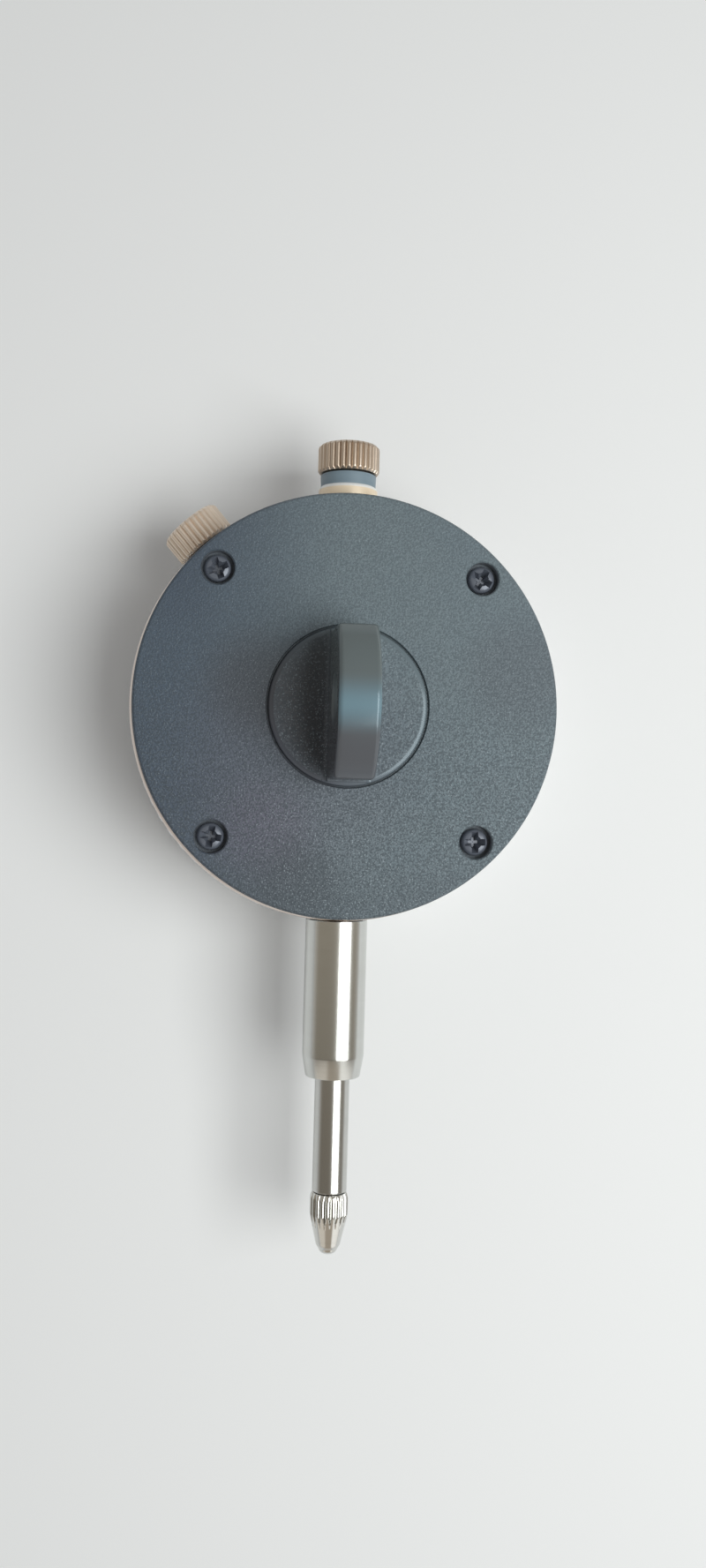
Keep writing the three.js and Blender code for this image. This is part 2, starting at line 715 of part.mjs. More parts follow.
function railScrewPlace() {
  const webOuter = guidePinReach + seatGap + railWall;
  const footEnd = guidePinReach + seatGap + railFootLength;
  return [(webOuter + footEnd) / 2, (railWebBottom + railWebTop) / 2];
}

const railScrew = () => smallScrew('rail_screw', railScrewPlace(),
  caseFloorDepth - 2 * seatGap - railWall - smallScrewHeadHeight, caseFloorDepth + floorBite);

// A wire along a list of points, given as [x, y, z]
function wire(points, section, steps) {
  const path = new THREE.CatmullRomCurve3(points.map((point) => new THREE.Vector3(...point)));
  path.arcLengthDivisions = points.length * wireDivisions;
  const settings = { extrudePath: path, steps, bevelEnabled: false };
  return solid(new THREE.ExtrudeGeometry(section, settings));
}

const roundSection = (radius, sides) => outlineOf(
  Array.from({ length: sides }, (_, i) => polar(radius, 2 * Math.PI * i / sides)));

// Least gap of a wire to itself: points nearer along the wire than one curl's half are left out.
function leastSelfGap(points, apart, thickness) {
  let least = Infinity;
  for (let i = 0; i < points.length; i += 1) {
    for (let j = i + apart; j < points.length; j += 1) {
      least = Math.min(least, Math.hypot(...points[i].map((value, k) => value - points[j][k])));
    }
  }
  return least - thickness;
}

const springPostPlace = () => [springOffset, springPostHeight];

// Return spring: a loop round the post, its curls, and a loop round the guide pin
function returnSpring() {
  const points = [];
  const hook = 2 * Math.PI * springHookShare;
  for (let i = 0; i <= springHookSteps; i += 1) {
    const turn = 2 * Math.PI * springHookStartShare - hook * i / springHookSteps;
    const [z, x] = polar(springRadius, turn);
    points.push([springOffset + x, 0, springPostHeight + z]);
  }
  const bottom = springPostHeight + springLead;
  const top = guidePinHeight - springLead;
  const curlSteps = (springCurls + springLastCurlShare) * springStepsPerCurl;
  for (let i = 0; i <= curlSteps; i += 1) {
    const angle = 2 * Math.PI * i / springStepsPerCurl;
    const [x, y] = polar(springRadius, angle);
    points.push([springOffset + x, y, bottom + (top - bottom) * i / curlSteps]);
  }
  for (let i = 0; i <= springHookSteps; i += 1) {
    const [y, z] = polar(springRadius, hook * i / springHookSteps);
    points.push([springOffset, y, guidePinHeight + z]);
  }
  const gap = leastSelfGap(points, springStepsPerCurl / 2, 2 * springWireRadius);
  console.log(`return spring: least gap to itself ${gap.toFixed(2)} mm`);
  const body = wire(points, roundSection(springWireRadius, wireSides), points.length);
  return piece('return_spring', body.translate([0, -plungerDepth, 0]), springSteel);
}

function springPost() {
  const tip = caseFloorDepth + floorBite;
  const headFront = springPostTop + springPostRadius;
  const post = turned([
    [0, -tip], [springPostRadius, -tip], [springPostRadius, -headFront],
    [springPostHead, -headFront], [springPostHead, -springPostTop], [0, -springPostTop],
  ], pinSides);
  const [x, z] = springPostPlace();
  return piece('spring_post', post.translate([x, 0, z]), groundSteel);
}

// An arbor with its pivots at both ends: [start, end] depths of the thick part and of the whole
function arborProfile(whole, thick, radius = arborRadius) {
  return [
    [0, -whole[1]], [pivotRadius, -whole[1]], [pivotRadius, -thick[1]], [radius, -thick[1]],
    [radius, -thick[0]], [pivotRadius, -thick[0]], [pivotRadius, -whole[0]], [0, -whole[0]],
  ];
}

function rackPinion() {
  const handEnd = smallHandDepth + smallHandThickness + seatGap / 2;
  const cockFront = cockDepth + cockThickness;
  const shaft = turned(arborProfile([cockFront - pivotLength, handEnd],
    [cockFront + seatGap, smallHandDepth - seatGap]), pinSides);
  const leaves = plate(pinionOutline(rackPinionTeeth, pinionPitchRadius, 0), rackPinionDepth,
    rackPinionLength);
  return piece('rack_pinion', shaft.add(leaves).translate([arborX, 0, arborZ]), polishedSteel);
}

function centrePinion() {
  const end = hubDepth + hubHeight - seatGap;
  const shaft = turned(arborProfile([bridgeFront - pivotLength, end],
    [bridgeFront + seatGap, handDepth - seatGap]), pinSides);
  const leaves = plate(pinionOutline(centrePinionTeeth, centrePitchRadius, centreTurn()),
    bridgeFront + seatGap, centrePinionLength);
  return piece('centre_pinion', shaft.add(leaves), polishedSteel);
}

function takeUpPinion() {
  const shaft = turned(arborProfile(
    [bridgeFront - pivotLength, caseFloorDepth + floorBite],
    [bridgeFront + seatGap, caseFloorDepth - seatGap]), pinSides);
  return piece('take_up_arbor', shaft.translate([arborX, 0, -arborZ]), polishedSteel);
}

// The centre pinion has a gap between leaves on the line to the rack pinion's arbor.
const rackDirection = Math.atan2(arborZ, arborX);
const takeUpDirection = Math.atan2(-arborZ, arborX);
const centreTurn = () => rackDirection + Math.PI / centrePinionTeeth;

// A wheel with lightening holes and a bore for its arbor
function wheel(name, turn, [x, z]) {
  const toothDepth = (addendumShare + dedendumShare) * gearModule;
  const tip = wheelPitchRadius + addendumShare * gearModule;
  let body = plate(fluted(tip, toothDepth, wheelTeeth, turn), wheelDepth, wheelThickness);
  const back = wheelDepth - overrun;
  const front = wheelDepth + wheelThickness + overrun;
  body = body.subtract(disc(arborRadius + seatGap, back, front, centreArbor));
  for (let i = 0; i < wheelHoles; i += 1) {
    const place = polar(wheelPitchRadius * wheelHoleShare, 2 * Math.PI * i / wheelHoles);
    body = body.subtract(disc(wheelHoleRadius, back, front, place));
  }
  return piece(name, body.translate([x, 0, z]), brass);
}

const collet = () => {
  const back = hairspringDepth;
  const ring = turned([
    [arborRadius + seatGap, -back - hairspringHeight], [colletRadius, -back - hairspringHeight],
    [colletRadius, -back], [arborRadius + seatGap, -back],
    [arborRadius + seatGap, -back - hairspringHeight],
  ], pinSides);
  return piece('hairspring_collet', ring.translate([arborX, 0, -arborZ]), brass);
};

// Hairspring: a flat strip wound on a spiral of even pitch
function hairspring() {
  const steps = hairspringTurns * hairspringStepsPerTurn;
  const points = [];
  for (let i = 0; i <= steps; i += 1) {
    const angle = 2 * Math.PI * i / hairspringStepsPerTurn;
    const [x, z] = polar(hairspringInner + hairspringPitch * i / hairspringStepsPerTurn, angle);
    points.push([x, 0, z]);
  }
  const gap = leastSelfGap(points, hairspringStepsPerTurn / 2, hairspringThickness);
  console.log(`hairspring: least gap to itself ${gap.toFixed(2)} mm`);
  const side = (offset) => points.map(([x, , z]) => {
    const radius = Math.hypot(x, z);
    return [x * (radius + offset) / radius, z * (radius + offset) / radius];
  });
  const half = hairspringThickness / 2;
  const strip = outlineOf([...side(half), ...side(-half).reverse()]);
  const body = plate(strip, hairspringDepth, hairspringHeight);
  return piece('hairspring', body.translate([arborX, 0, -arborZ]), blueSteel);
}

function hairspringStudPlace() {
  const reach = hairspringInner + hairspringPitch * hairspringTurns
    + hairspringThickness / 2 + seatGap + studSize / 2;
  return [arborX + reach, -arborZ];
}

const hairspringStud = () => piece('hairspring_stud', disc(studSize / 2,
  hairspringDepth - seatGap / 2, caseFloorDepth + floorBite, hairspringStudPlace()), brass);

// A flat arm between two places
function arm(from, to, width, backDepth, thickness) {
  const run = Math.hypot(to[0] - from[0], to[1] - from[1]);
  const side = [(from[1] - to[1]) / run, (to[0] - from[0]) / run].map((part) => part * width / 2);
  const corner = ([x, z], sign) => [x + sign * side[0], z + sign * side[1]];
  const outline = outlineOf([corner(from, -1), corner(to, -1), corner(to, 1), corner(from, 1)]);
  return plate(outline, backDepth, thickness);
}

// Movement bridge: arms from the centre to the arbors and the pillars
function bridge() {
  const arms = [
    [pillarPlaces[0], centreArbor], [centreArbor, rackArbor], [centreArbor, takeUpArbor],
    [rackArbor, pillarPlaces[1]], [takeUpArbor, pillarPlaces[2]],
  ].map(([from, to]) => arm(from, to, bridgeArm, bridgeDepth, bridgeThickness));
  const pads = [...pillarPlaces, cockFoot, rackArbor, takeUpArbor, centreArbor]
    .map((place) => disc(bridgePad, bridgeDepth, bridgeFront, place));
  let body = arms.concat(pads).reduce((whole, part) => whole.add(part));
  const back = bridgeDepth - overrun;
  const front = bridgeFront + overrun;
  const holes = [
    ...[...pillarPlaces, cockFoot].map((place) => [smallScrewRadius, place]),
    [pivotRadius, centreArbor], [arborRadius, rackArbor], [pivotRadius, takeUpArbor],
  ];
  for (const [radius, place] of holes) {
    body = body.subtract(disc(radius + seatGap, back, front, place));
  }
  return piece('movement_bridge', body, brass);
}

function pillar(name, [x, z]) {
  const back = -(bridgeFront + seatGap);
  const front = -(caseFloorDepth - seatGap);
  const bore = smallScrewRadius + seatGap;
  const tube = turned([
    [bore, front], [pillarRadius, front], [pillarRadius, back], [bore, back], [bore, front],
  ], pinSides);
  return piece(name, tube.translate([x, 0, z]), brass);
}

// Pinion cock: an arm over the rack pinion's rear pivot, on a post that stands on the bridge
function pinionCock() {
  const post = disc(cockPostRadius, cockDepth, bridgeDepth - seatGap, cockFoot);
  const beam = arm(cockFoot, rackArbor, cockArm, cockDepth, cockThickness)
    .add(disc(cockArm / 2, cockDepth, cockDepth + cockThickness, rackArbor));
  const bore = disc(smallScrewRadius + seatGap, cockDepth - overrun, bridgeDepth, cockFoot);
  const pivot = disc(pivotRadius + seatGap, cockDepth - overrun,
    cockDepth + cockThickness + overrun, rackArbor);
  return piece('pinion_cock', post.add(beam).subtract(bore).subtract(pivot), brass);
}

const cockScrew = () => smallScrew('cock_screw', cockFoot,
  cockDepth - seatGap - smallScrewHeadHeight, bridgeDepth + floorBite);

// Fixed dial with two feet in the floor
function innerDial() {
  const front = dialDepth + dialThickness;
  let body = disc(dialRadius, dialDepth, front, centreArbor, ringSides);
  for (const place of dialFootPlaces) {
    body = body.add(disc(dialFootRadius, dialDepth - dialFootLength, front - dialThickness / 2,
      place));
  }
  for (const place of [centreArbor, rackArbor]) {
    body = body.subtract(disc(arborRadius + seatGap, dialDepth - overrun, front + overrun, place));
  }
  return piece('inner_dial', body, dialWhite);
}

function scaleRing() {
  const front = -(scaleDepth + scaleThickness);
  const ring = turned([
    [scaleInner, front], [scaleOuter, front], [scaleOuter, -scaleDepth],
    [scaleInner, -scaleDepth], [scaleInner, front],
  ], ringSides);
  return piece('scale_ring', ring, dialWhite);
}

// A tapered hand that points up the Z axis, with a boss round its bore
function hand(name, place, depth, thickness, sizes, bore, material) {
  const { reach, tail, width, tailWidth, tipWidth, boss } = sizes;
  const needle = plate(outlineOf([
    [-tailWidth / 2, -tail], [tailWidth / 2, -tail], [width / 2, 0], [tipWidth / 2, reach],
    [-tipWidth / 2, reach], [-width / 2, 0],
  ]), depth, thickness);
  const centre = disc(boss, depth, depth + thickness, centreArbor, barrelSides);
  const hole = disc(bore, depth - overrun, depth + thickness + overrun, centreArbor);
  return piece(name, needle.add(centre).subtract(hole).translate([place[0], 0, place[1]]),
    material);
}

const mainHand = () => hand('main_hand', centreArbor, handDepth, handThickness, {
  reach: handReach, tail: handTail, width: handWidth, tailWidth: handTailWidth,
  tipWidth: handTipWidth, boss: handBossRadius,
}, pivotRadius + seatGap, handBlack);

const revolutionHand = () => hand('revolution_hand', rackArbor, smallHandDepth,
  smallHandThickness, {
    reach: smallHandReach, tail: smallHandBoss, width: smallHandWidth,
    tailWidth: smallHandWidth, tipWidth: smallHandTip, boss: smallHandBoss,
  }, pivotRadius + seatGap, handBlack);

// Hub cap over the main hand, with a blind bore for the arbor's end
function handHub() {
  const front = hubDepth + hubHeight;
  const bore = pivotRadius + seatGap;
  const cap = turned([
    [bore, -front], [hubRadius - hubHeight / 2, -front], [hubRadius, hubHeight / 2 - front],
    [hubRadius, -hubDepth], [bore, -hubDepth], [bore, -front],
  ], barrelSides);
  return piece('hand_hub', cap, chrome);
}

// Bezel: a knurled band that carries the crystal in front and the scale ring behind its ledge
function bezel() {
  const front = -bezelFrontDepth;
  const ledgeBack = -bezelLedgeDepth;
  const ledgeFront = seatGap - crystalDepth;
  const pocket = crystalRadius + seatGap;
  const lipBack = bezelLipThickness - bezelFrontDepth;
  const groove = wireCentreRadius + wireRadius + seatGap;
  const grooveHalf = wireRadius + seatGap;
  const profile = turned([
    [bezelLipRadius, front], [bezelFrontRadius, front], [bezelFrontRadius, -bezelBandEnd],
    [bezelNeckRadius, -bezelBandDepth], [bezelNeckRadius, -bezelBackDepth],
    [bezelBore, -bezelBackDepth],
    [bezelBore, grooveHalf - wireDepth], [groove, grooveHalf - wireDepth],
    [groove, -grooveHalf - wireDepth], [bezelBore, -grooveHalf - wireDepth],
    [bezelBore, ledgeBack], [bezelLedgeRadius, ledgeBack], [bezelLedgeRadius, ledgeFront],
    [pocket, ledgeFront], [pocket, lipBack], [bezelLipRadius, lipBack], [bezelLipRadius, front],
  ], ringSides);
  const outline = fluted(bezelRadius, bezelFluteDepth, bezelFlutes);
  outline.holes.push(new THREE.Path().setFromPoints(
    new THREE.Path().absarc(0, 0, (groove + bezelNeckRadius) / 2, 0, 2 * Math.PI, true)
      .getPoints(ringSides)));
  const band = plate(outline, bezelBandDepth, bezelBandEnd - bezelBandDepth);
  return piece('bezel', profile.add(band), chrome);
}

function crystal() {
  const front = crystalDepth + crystalThickness;
  return piece('crystal', disc(crystalRadius, crystalDepth, front, centreArbor, ringSides),
    clearAcrylic);
}

// Wire ring: an open spring ring in the grooves of the case and the bezel
function wireRing() {
  const points = [];
  for (let i = 0; i <= wireSteps; i += 1) {
    const [x, z] = polar(wireCentreRadius, -Math.PI / 2 + wireSpan * (i / wireSteps - 0.5));
    points.push([x, -wireDepth, z]);
  }
  return piece('wire_ring', wire(points, roundSection(wireRadius, wireSides), wireSteps), springSteel);
}

// Bezel clamp: pieces made along Z, then leaned round the dial's axis to the clamp's place
function leaned(body) {
  return body.translate([0, -clampDepth, 0]).rotate([0, clampTurn * 180 / Math.PI, 0]);
}

function clampBore() {
  const radius = clampShankRadius + seatGap;
  const start = clampShankEnd - 2 * seatGap;
  const profile = [[0, start], [radius, start], [radius, caseRadius + overrun],
    [0, caseRadius + overrun]];
  return leaned(turnedUpright(profile, pinSides));
}

function clampScrew() {
  const blank = turnedUpright([
    [0, clampHeadInner], [clampHeadRadius - clampHeadEdge, clampHeadInner],
    [clampHeadRadius, clampHeadInner + clampHeadEdge],
    [clampHeadRadius, clampHeadOuter - clampHeadEdge],
    [clampHeadRadius - clampHeadEdge, clampHeadOuter], [0, clampHeadOuter],
  ], barrelSides);
  const head = knurledBar(clampHeadRadius, clampFluteDepth, clampFlutes,
    clampHeadInner, clampHeadOuter).intersect(blank);
  const shank = turnedUpright([
    [0, clampShankEnd], [clampShankRadius, clampShankEnd],
    [clampShankRadius, clampHeadInner + overrun], [0, clampHeadInner + overrun],
  ], pinSides);
  return piece('clamp_screw', leaned(head.add(shank)), champagne);
}

function clampShoe() {
  const radius = clampShankRadius + seatGap;
  const bore = turnedUpright([[0, shoeInner - overrun], [radius, shoeInner - overrun],
    [radius, shoeOuter + overrun], [0, shoeOuter + overrun]], pinSides);
  const shoe = clampSector(shoeInner, shoeOuter, shoeBackDepth, shoeFrontDepth, shoeWidth);
  return piece('clamp_shoe', shoe.subtract(leaned(bore)), groundSteel);
}

// A block with round faces between two radii and two depths, at the clamp's place
function clampSector(inner, outer, backDepth, frontDepth, width) {
  const ring = turned([
    [inner, -frontDepth], [outer, -frontDepth], [outer, -backDepth], [inner, -backDepth],
    [inner, -frontDepth],
  ], ringSides);
  const window = box(width, frontDepth - backDepth + 2 * overrun, caseRadius)
    .translate([0, clampDepth - (backDepth + frontDepth) / 2, caseRadius]);
  return ring.intersect(leaned(window));
}

const clampPocket = () => clampSector(bezelNeckRadius, caseRadius + overrun,
  shoeBackDepth - seatGap, caseShoulderDepth + overrun, shoeWidth + 2 * seatGap);

const movement = () => assembly(
  bridge(), pillarPlaces.map((place, i) => pillar(`pillar_${i + 1}`, place)),
  pillarPlaces.map((place, i) => smallScrew(`bridge_screw_${i + 1}`, place,
    bridgeDepth - seatGap - smallScrewHeadHeight, caseFloorDepth + floorBite)),
  pinionCock(), cockScrew(), guideRail(), railScrew(), springPost(), hairspringStud());

const gearTrain = () => assembly(
  rackPinion(), wheel('first_wheel', meshTurn(centreTurn(), centrePinionTeeth, rackDirection),
    rackArbor), revolutionHand(),
  centrePinion(), mainHand(), handHub(),
  takeUpPinion(), wheel('take_up_wheel',
    meshTurn(centreTurn(), centrePinionTeeth, takeUpDirection), takeUpArbor),
  collet(), hairspring());

const gauge = assembly(
  caseBody(), backCover(),
  coverScrewPlaces().map((place, i) => coverScrew(`cover_screw_${i + 1}`, place)),
  stem(), upperBush(), movement(), innerDial(),
  assembly(plunger(), plungerCap(), contactPoint(), guidePin()), returnSpring(), gearTrain(),
  assembly(bezel(), scaleRing(), crystal(), wireRing()), clampScrew(), clampShoe());
gauge.position.y = -lugHoleHeight;

export default gauge;
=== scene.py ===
# %% [markdown]
# # A plunger dial indicator, seen from its back
# The imported CAD model is the fixed frame: every piece made here is in its place, and all but the
# return spring move with one of its bodies. Camera and light come first, then the finishes, and
# then each piece from the back cover to the printed dial.

import json
from math import acos, cos, pi, radians, sin

import bmesh
import bpy
from mathutils import Matrix, Vector

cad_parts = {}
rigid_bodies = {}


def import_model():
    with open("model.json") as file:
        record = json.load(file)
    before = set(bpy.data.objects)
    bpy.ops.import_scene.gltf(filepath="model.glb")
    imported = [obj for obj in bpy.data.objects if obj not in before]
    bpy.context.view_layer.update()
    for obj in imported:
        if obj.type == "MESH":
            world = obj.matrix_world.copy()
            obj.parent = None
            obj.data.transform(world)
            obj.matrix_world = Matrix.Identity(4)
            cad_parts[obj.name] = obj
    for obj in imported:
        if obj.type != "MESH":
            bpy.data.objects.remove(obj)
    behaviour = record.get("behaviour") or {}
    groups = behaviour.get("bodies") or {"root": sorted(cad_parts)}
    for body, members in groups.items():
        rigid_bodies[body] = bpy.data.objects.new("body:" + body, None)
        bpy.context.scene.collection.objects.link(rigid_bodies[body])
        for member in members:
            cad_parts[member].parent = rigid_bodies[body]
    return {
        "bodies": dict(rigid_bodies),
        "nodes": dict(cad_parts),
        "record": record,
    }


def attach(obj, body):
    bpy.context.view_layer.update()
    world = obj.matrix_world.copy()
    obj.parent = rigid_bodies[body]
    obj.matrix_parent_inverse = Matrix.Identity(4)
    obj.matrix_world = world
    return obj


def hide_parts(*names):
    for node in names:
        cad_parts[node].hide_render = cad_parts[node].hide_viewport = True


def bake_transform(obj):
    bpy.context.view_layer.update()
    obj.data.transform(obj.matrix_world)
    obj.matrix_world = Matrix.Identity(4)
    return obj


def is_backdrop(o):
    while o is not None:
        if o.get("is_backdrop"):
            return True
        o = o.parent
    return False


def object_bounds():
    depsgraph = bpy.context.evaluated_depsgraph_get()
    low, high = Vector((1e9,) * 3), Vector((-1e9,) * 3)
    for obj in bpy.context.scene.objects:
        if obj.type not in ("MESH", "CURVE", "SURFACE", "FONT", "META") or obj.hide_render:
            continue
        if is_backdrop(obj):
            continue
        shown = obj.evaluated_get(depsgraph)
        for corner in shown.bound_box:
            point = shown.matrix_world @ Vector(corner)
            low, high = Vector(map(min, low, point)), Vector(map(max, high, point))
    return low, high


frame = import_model()
cad_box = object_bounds()
print("bodies:", ", ".join(sorted(frame["bodies"])))
print("nodes:", len(frame["nodes"]))

# %% [markdown]
# ## Camera
# The gauge lies on its dial under a wide camera, which looks straight down from about 15 cm. Its
# place, turn and lens were worked out from measured points such as the four cover screws, the
# stem's end and the lug, so they are plain numbers here.

# %% Place the camera
MM = 0.001
# The camera's place in millimetres, its turn in degrees and its focal length in millimetres.
CAMERA_PLACE = (16.52, 151.08, -10.67)
CAMERA_TURN = (90.361, -1.549, 173.755)
CAMERA_LENS = 29.512

def new_object(name, data):
    """An object of the scene that holds this data."""
    obj = bpy.data.objects.new(name, data)
    bpy.context.scene.collection.objects.link(obj)
    return obj


camera_data = bpy.data.cameras.new("camera")
camera_data.lens = CAMERA_LENS
camera = new_object("camera", camera_data)
camera.location = Vector(CAMERA_PLACE) * MM
camera.rotation_euler = [radians(angle) for angle in CAMERA_TURN]
bpy.context.scene.camera = camera
bpy.context.scene.view_settings.view_transform = "Standard"
print("camera", [round(value, 3) for value in camera.location], "lens", camera_data.lens)

# %% [markdown]
# ## Node trees as Python expressions
# A pattern is easier to read as `1 - mask * 0.3` than as a chain of boxes and wires. `Value`
# wraps one socket, and each operator adds its Math node. `Nodes` adds every other node, so shader
# trees and geometry trees are written in the same way.

# %% Wrap sockets and nodes
def screen_colour(tone):
    """The shader's colour for three numbers of 0 to 255."""
    shares = [value / 255 for value in tone]
    return (*[share / 12.92 if share <= 0.04045 else ((share + 0.055) / 1.055) ** 2.4
              for share in shares], 1)


def operator(operation, swapped=False):
    """A method that adds one Math node; 'swapped' puts the other value first."""
    def method(self, other):
        return self.nodes.math(operation, *((other, self) if swapped else (self, other)))
    return method


class Value:
    """One socket of a node tree that can stand in a Python expression."""

    def __init__(self, nodes, socket):
        self.nodes, self.socket = nodes, socket

    __add__, __radd__ = operator("ADD"), operator("ADD", True)
    __sub__, __rsub__ = operator("SUBTRACT"), operator("SUBTRACT", True)
    __mul__, __rmul__ = operator("MULTIPLY"), operator("MULTIPLY", True)
    __truediv__, __mod__ = operator("DIVIDE"), operator("FLOORED_MODULO")
    __gt__, __lt__ = operator("GREATER_THAN"), operator("LESS_THAN")
    least, most, power = operator("MINIMUM"), operator("MAXIMUM"), operator("POWER")

    def __abs__(self):
        return self.nodes.math("ABSOLUTE", self)

    def ramp(self, start, end):
        """0 below start, 1 above end, and smooth between them."""
        return self.nodes.add("ShaderNodeMapRange", self, start, end,
                              settings={"interpolation_type": "SMOOTHSTEP"})

    def fall(self, start, end):
        """1 below start, 0 above end."""
        return 1 - self.ramp(start, end)


class Nodes:
    """A node tree whose nodes are added by one method."""

    def __init__(self, tree):
        self.tree = tree

    def close(self, kind, value):
        """Add the output node that ends the tree."""
        self.put(self.tree.nodes.new(kind).inputs[0], value)

    def put(self, socket, value):
        """Link a Value to the socket, or set any other value on it."""
        if isinstance(value, Value):
            self.tree.links.new(value.socket, socket)
        else:
            socket.default_value = value

    def add(self, kind, *values, output=0, settings=None, **inputs):
        """Any node: its settings, then values for its sockets, by their order or by name."""
        node = self.tree.nodes.new(kind)
        for name, setting in (settings or {}).items():
            setattr(node, name, setting)
        for place, value in [*enumerate(values), *inputs.items()]:
            self.put(node.inputs[place], value)
        return Value(self, node.outputs[output])

    def math(self, operation, *values):
        return self.add("ShaderNodeMath", *values, settings={"operation": operation})

    def vector(self, operation, *values, output=0):
        return self.add("ShaderNodeVectorMath", *values, output=output,
                        settings={"operation": operation})

    def length(self, vector):
        return self.math("SQRT", self.vector("DOT_PRODUCT", vector, vector, output="Value"))

    def split(self, vector):
        """The three coordinates of a vector."""
        node = self.add("ShaderNodeSeparateXYZ", vector).socket.node
        return [Value(self, socket) for socket in node.outputs]

    def join(self, x=0.0, y=0.0, z=0.0):
        """A vector of three values."""
        return self.add("ShaderNodeCombineXYZ", X=x, Y=y, Z=z)

    def mix(self, factor, *colours):
        """A blend of two colours; one of three numbers is a screen colour."""
        node = self.add("ShaderNodeMix", factor, settings={"data_type": "RGBA"}).socket.node
        for place, colour in zip((6, 7), colours):
            is_screen_colour = isinstance(colour, tuple) and len(colour) == 3
            self.put(node.inputs[place], screen_colour(colour) if is_screen_colour else colour)
        return Value(self, node.outputs[2])


def fresh_nodes(owner):
    """The emptied node tree of a world or a material."""
    owner.use_nodes = True
    owner.node_tree.nodes.clear()
    return Nodes(owner.node_tree)


print("expression classes ready")

# %% [markdown]
# ## Light and floor
# The gauge lies on its dial, so the floor is a pale upright sheet just behind the dial. It is
# clear from the dial's side, and a round window in it, hidden under the crystal, lets light
# reach the dial. One large soft lamp stands to the right, a third of a metre above the cover, so
# soft shadows fall on the left. Polished steel mirrors its surroundings, so glossy rays see a
# dim, warm room with a bright strip on one side, and a pale one towards the floor. Diffuse light
# is soft and grey, and stronger from the dial's side.

# %% Lamp
# Places are in millimetres, the lamp's size is in metres and its power in watts.
LAMP_PLACE = (-204, 340, -62)
LAMP_AIM = (0, -12, -6)
LAMP_SIZE = (0.29, 0.29)
LAMP_POWER = 1.32

lamp_data = bpy.data.lights.new("window_lamp", "AREA")
lamp_data.shape = "RECTANGLE"
lamp_data.size, lamp_data.size_y = LAMP_SIZE
lamp_data.energy = LAMP_POWER
lamp_data.color = (0.97, 1.0, 1.0)
lamp = new_object("window_lamp", lamp_data)
lamp.location = Vector(LAMP_PLACE) * MM
aim = Vector(LAMP_AIM) * MM - lamp.location
lamp.rotation_euler = aim.to_track_quat("-Z", "Y").to_euler()
print("lamp at", [round(value, 3) for value in lamp.location], "power", lamp_data.energy)

# %% Room
BRIGHT_STRIP, PALE_WALL = (1.15, 1.13, 1.08, 1), (0.74, 0.73, 0.71, 1)
HIGH_WALL = (0.40, 0.37, 0.33, 1)
DIAL_SIDE_LIGHT, COVER_SIDE_LIGHT = (0.86, 0.86, 0.85, 1), (0.31, 0.31, 0.31, 1)
SEEN, SEEN_THROUGH = (0.86, 0.86, 0.85, 1), (1.20, 1.20, 1.20, 1)

world = bpy.data.worlds.new("room")
bpy.context.scene.world = world
room = fresh_nodes(world)
direction = room.add("ShaderNodeTexCoord", output="Generated")
across, towards, up = room.split(direction)
# The side towards the camera: the direction, start, end and colour of each layer over the strip.
near_layers = [(across, -0.46, -0.26, (0.44, 0.38, 0.31, 1)),
               (across, 0.25, 0.50, (0.76, 0.70, 0.62, 1)),
               (up, -0.58, -0.38, (0.19, 0.17, 0.14, 1)),
               (up, -0.30, -0.08, (0.36, 0.32, 0.26, 1))]
near_room = BRIGHT_STRIP
for way, start, end, tone in near_layers:
    near_room = room.mix(way.ramp(start, end), near_room, tone)
dim_room = room.mix(towards.ramp(-0.25, 0.35), PALE_WALL, near_room)
mirrored = room.mix(up.ramp(0.05, 0.30), dim_room, HIGH_WALL)
glossy, seen, through = [room.add("ShaderNodeLightPath", output=f"Is {kind} Ray")
                         for kind in ("Glossy", "Camera", "Transmission")]
soft_light = room.mix(towards.ramp(-0.45, -0.05), DIAL_SIDE_LIGHT, COVER_SIDE_LIGHT)
plain = room.mix(glossy, soft_light, mirrored)
clear_view = room.mix(through, SEEN, SEEN_THROUGH)
colour = room.mix(seen.most(through), plain, clear_view)
background = room.add("ShaderNodeBackground", Color=colour, Strength=1.0)
room.close("ShaderNodeOutputWorld", background)
print("room nodes:", len(world.node_tree.nodes))

# %% Floor
FLOOR_DEPTH, FLOOR_HALF, WINDOW_RADIUS = -28.6, 900, 26.5
FLOOR_COLOUR = (0.90, 0.90, 0.89, 1)

floor_mesh = bpy.data.meshes.new("floor")
corners = [(x * FLOOR_HALF * MM, FLOOR_DEPTH * MM, z * FLOOR_HALF * MM)
           for x, z in ((1, -1), (-1, -1), (-1, 1), (1, 1))]
floor_mesh.from_pydata(corners, [], [(0, 1, 2, 3)])
floor = new_object("floor", floor_mesh)
floor_material = bpy.data.materials.new("floor_sheet")
sheet = fresh_nodes(floor_material)
matt = sheet.add("ShaderNodeBsdfDiffuse", Color=FLOOR_COLOUR)
clear = sheet.add("ShaderNodeBsdfTransparent")
behind = sheet.add("ShaderNodeNewGeometry", output="Backfacing")
spot_x, spot_y, spot_z = sheet.split(sheet.add("ShaderNodeTexCoord", output="Object"))
window = sheet.math("SQRT", spot_x * spot_x + spot_z * spot_z) < WINDOW_RADIUS * MM
sheet.close("ShaderNodeOutputMaterial",
            sheet.add("ShaderNodeMixShader", behind.most(window), matt, clear))
floor_mesh.materials.append(floor_material)
floor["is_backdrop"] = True
print("floor faces", [round(value, 2) for value in floor_mesh.polygons[0].normal])

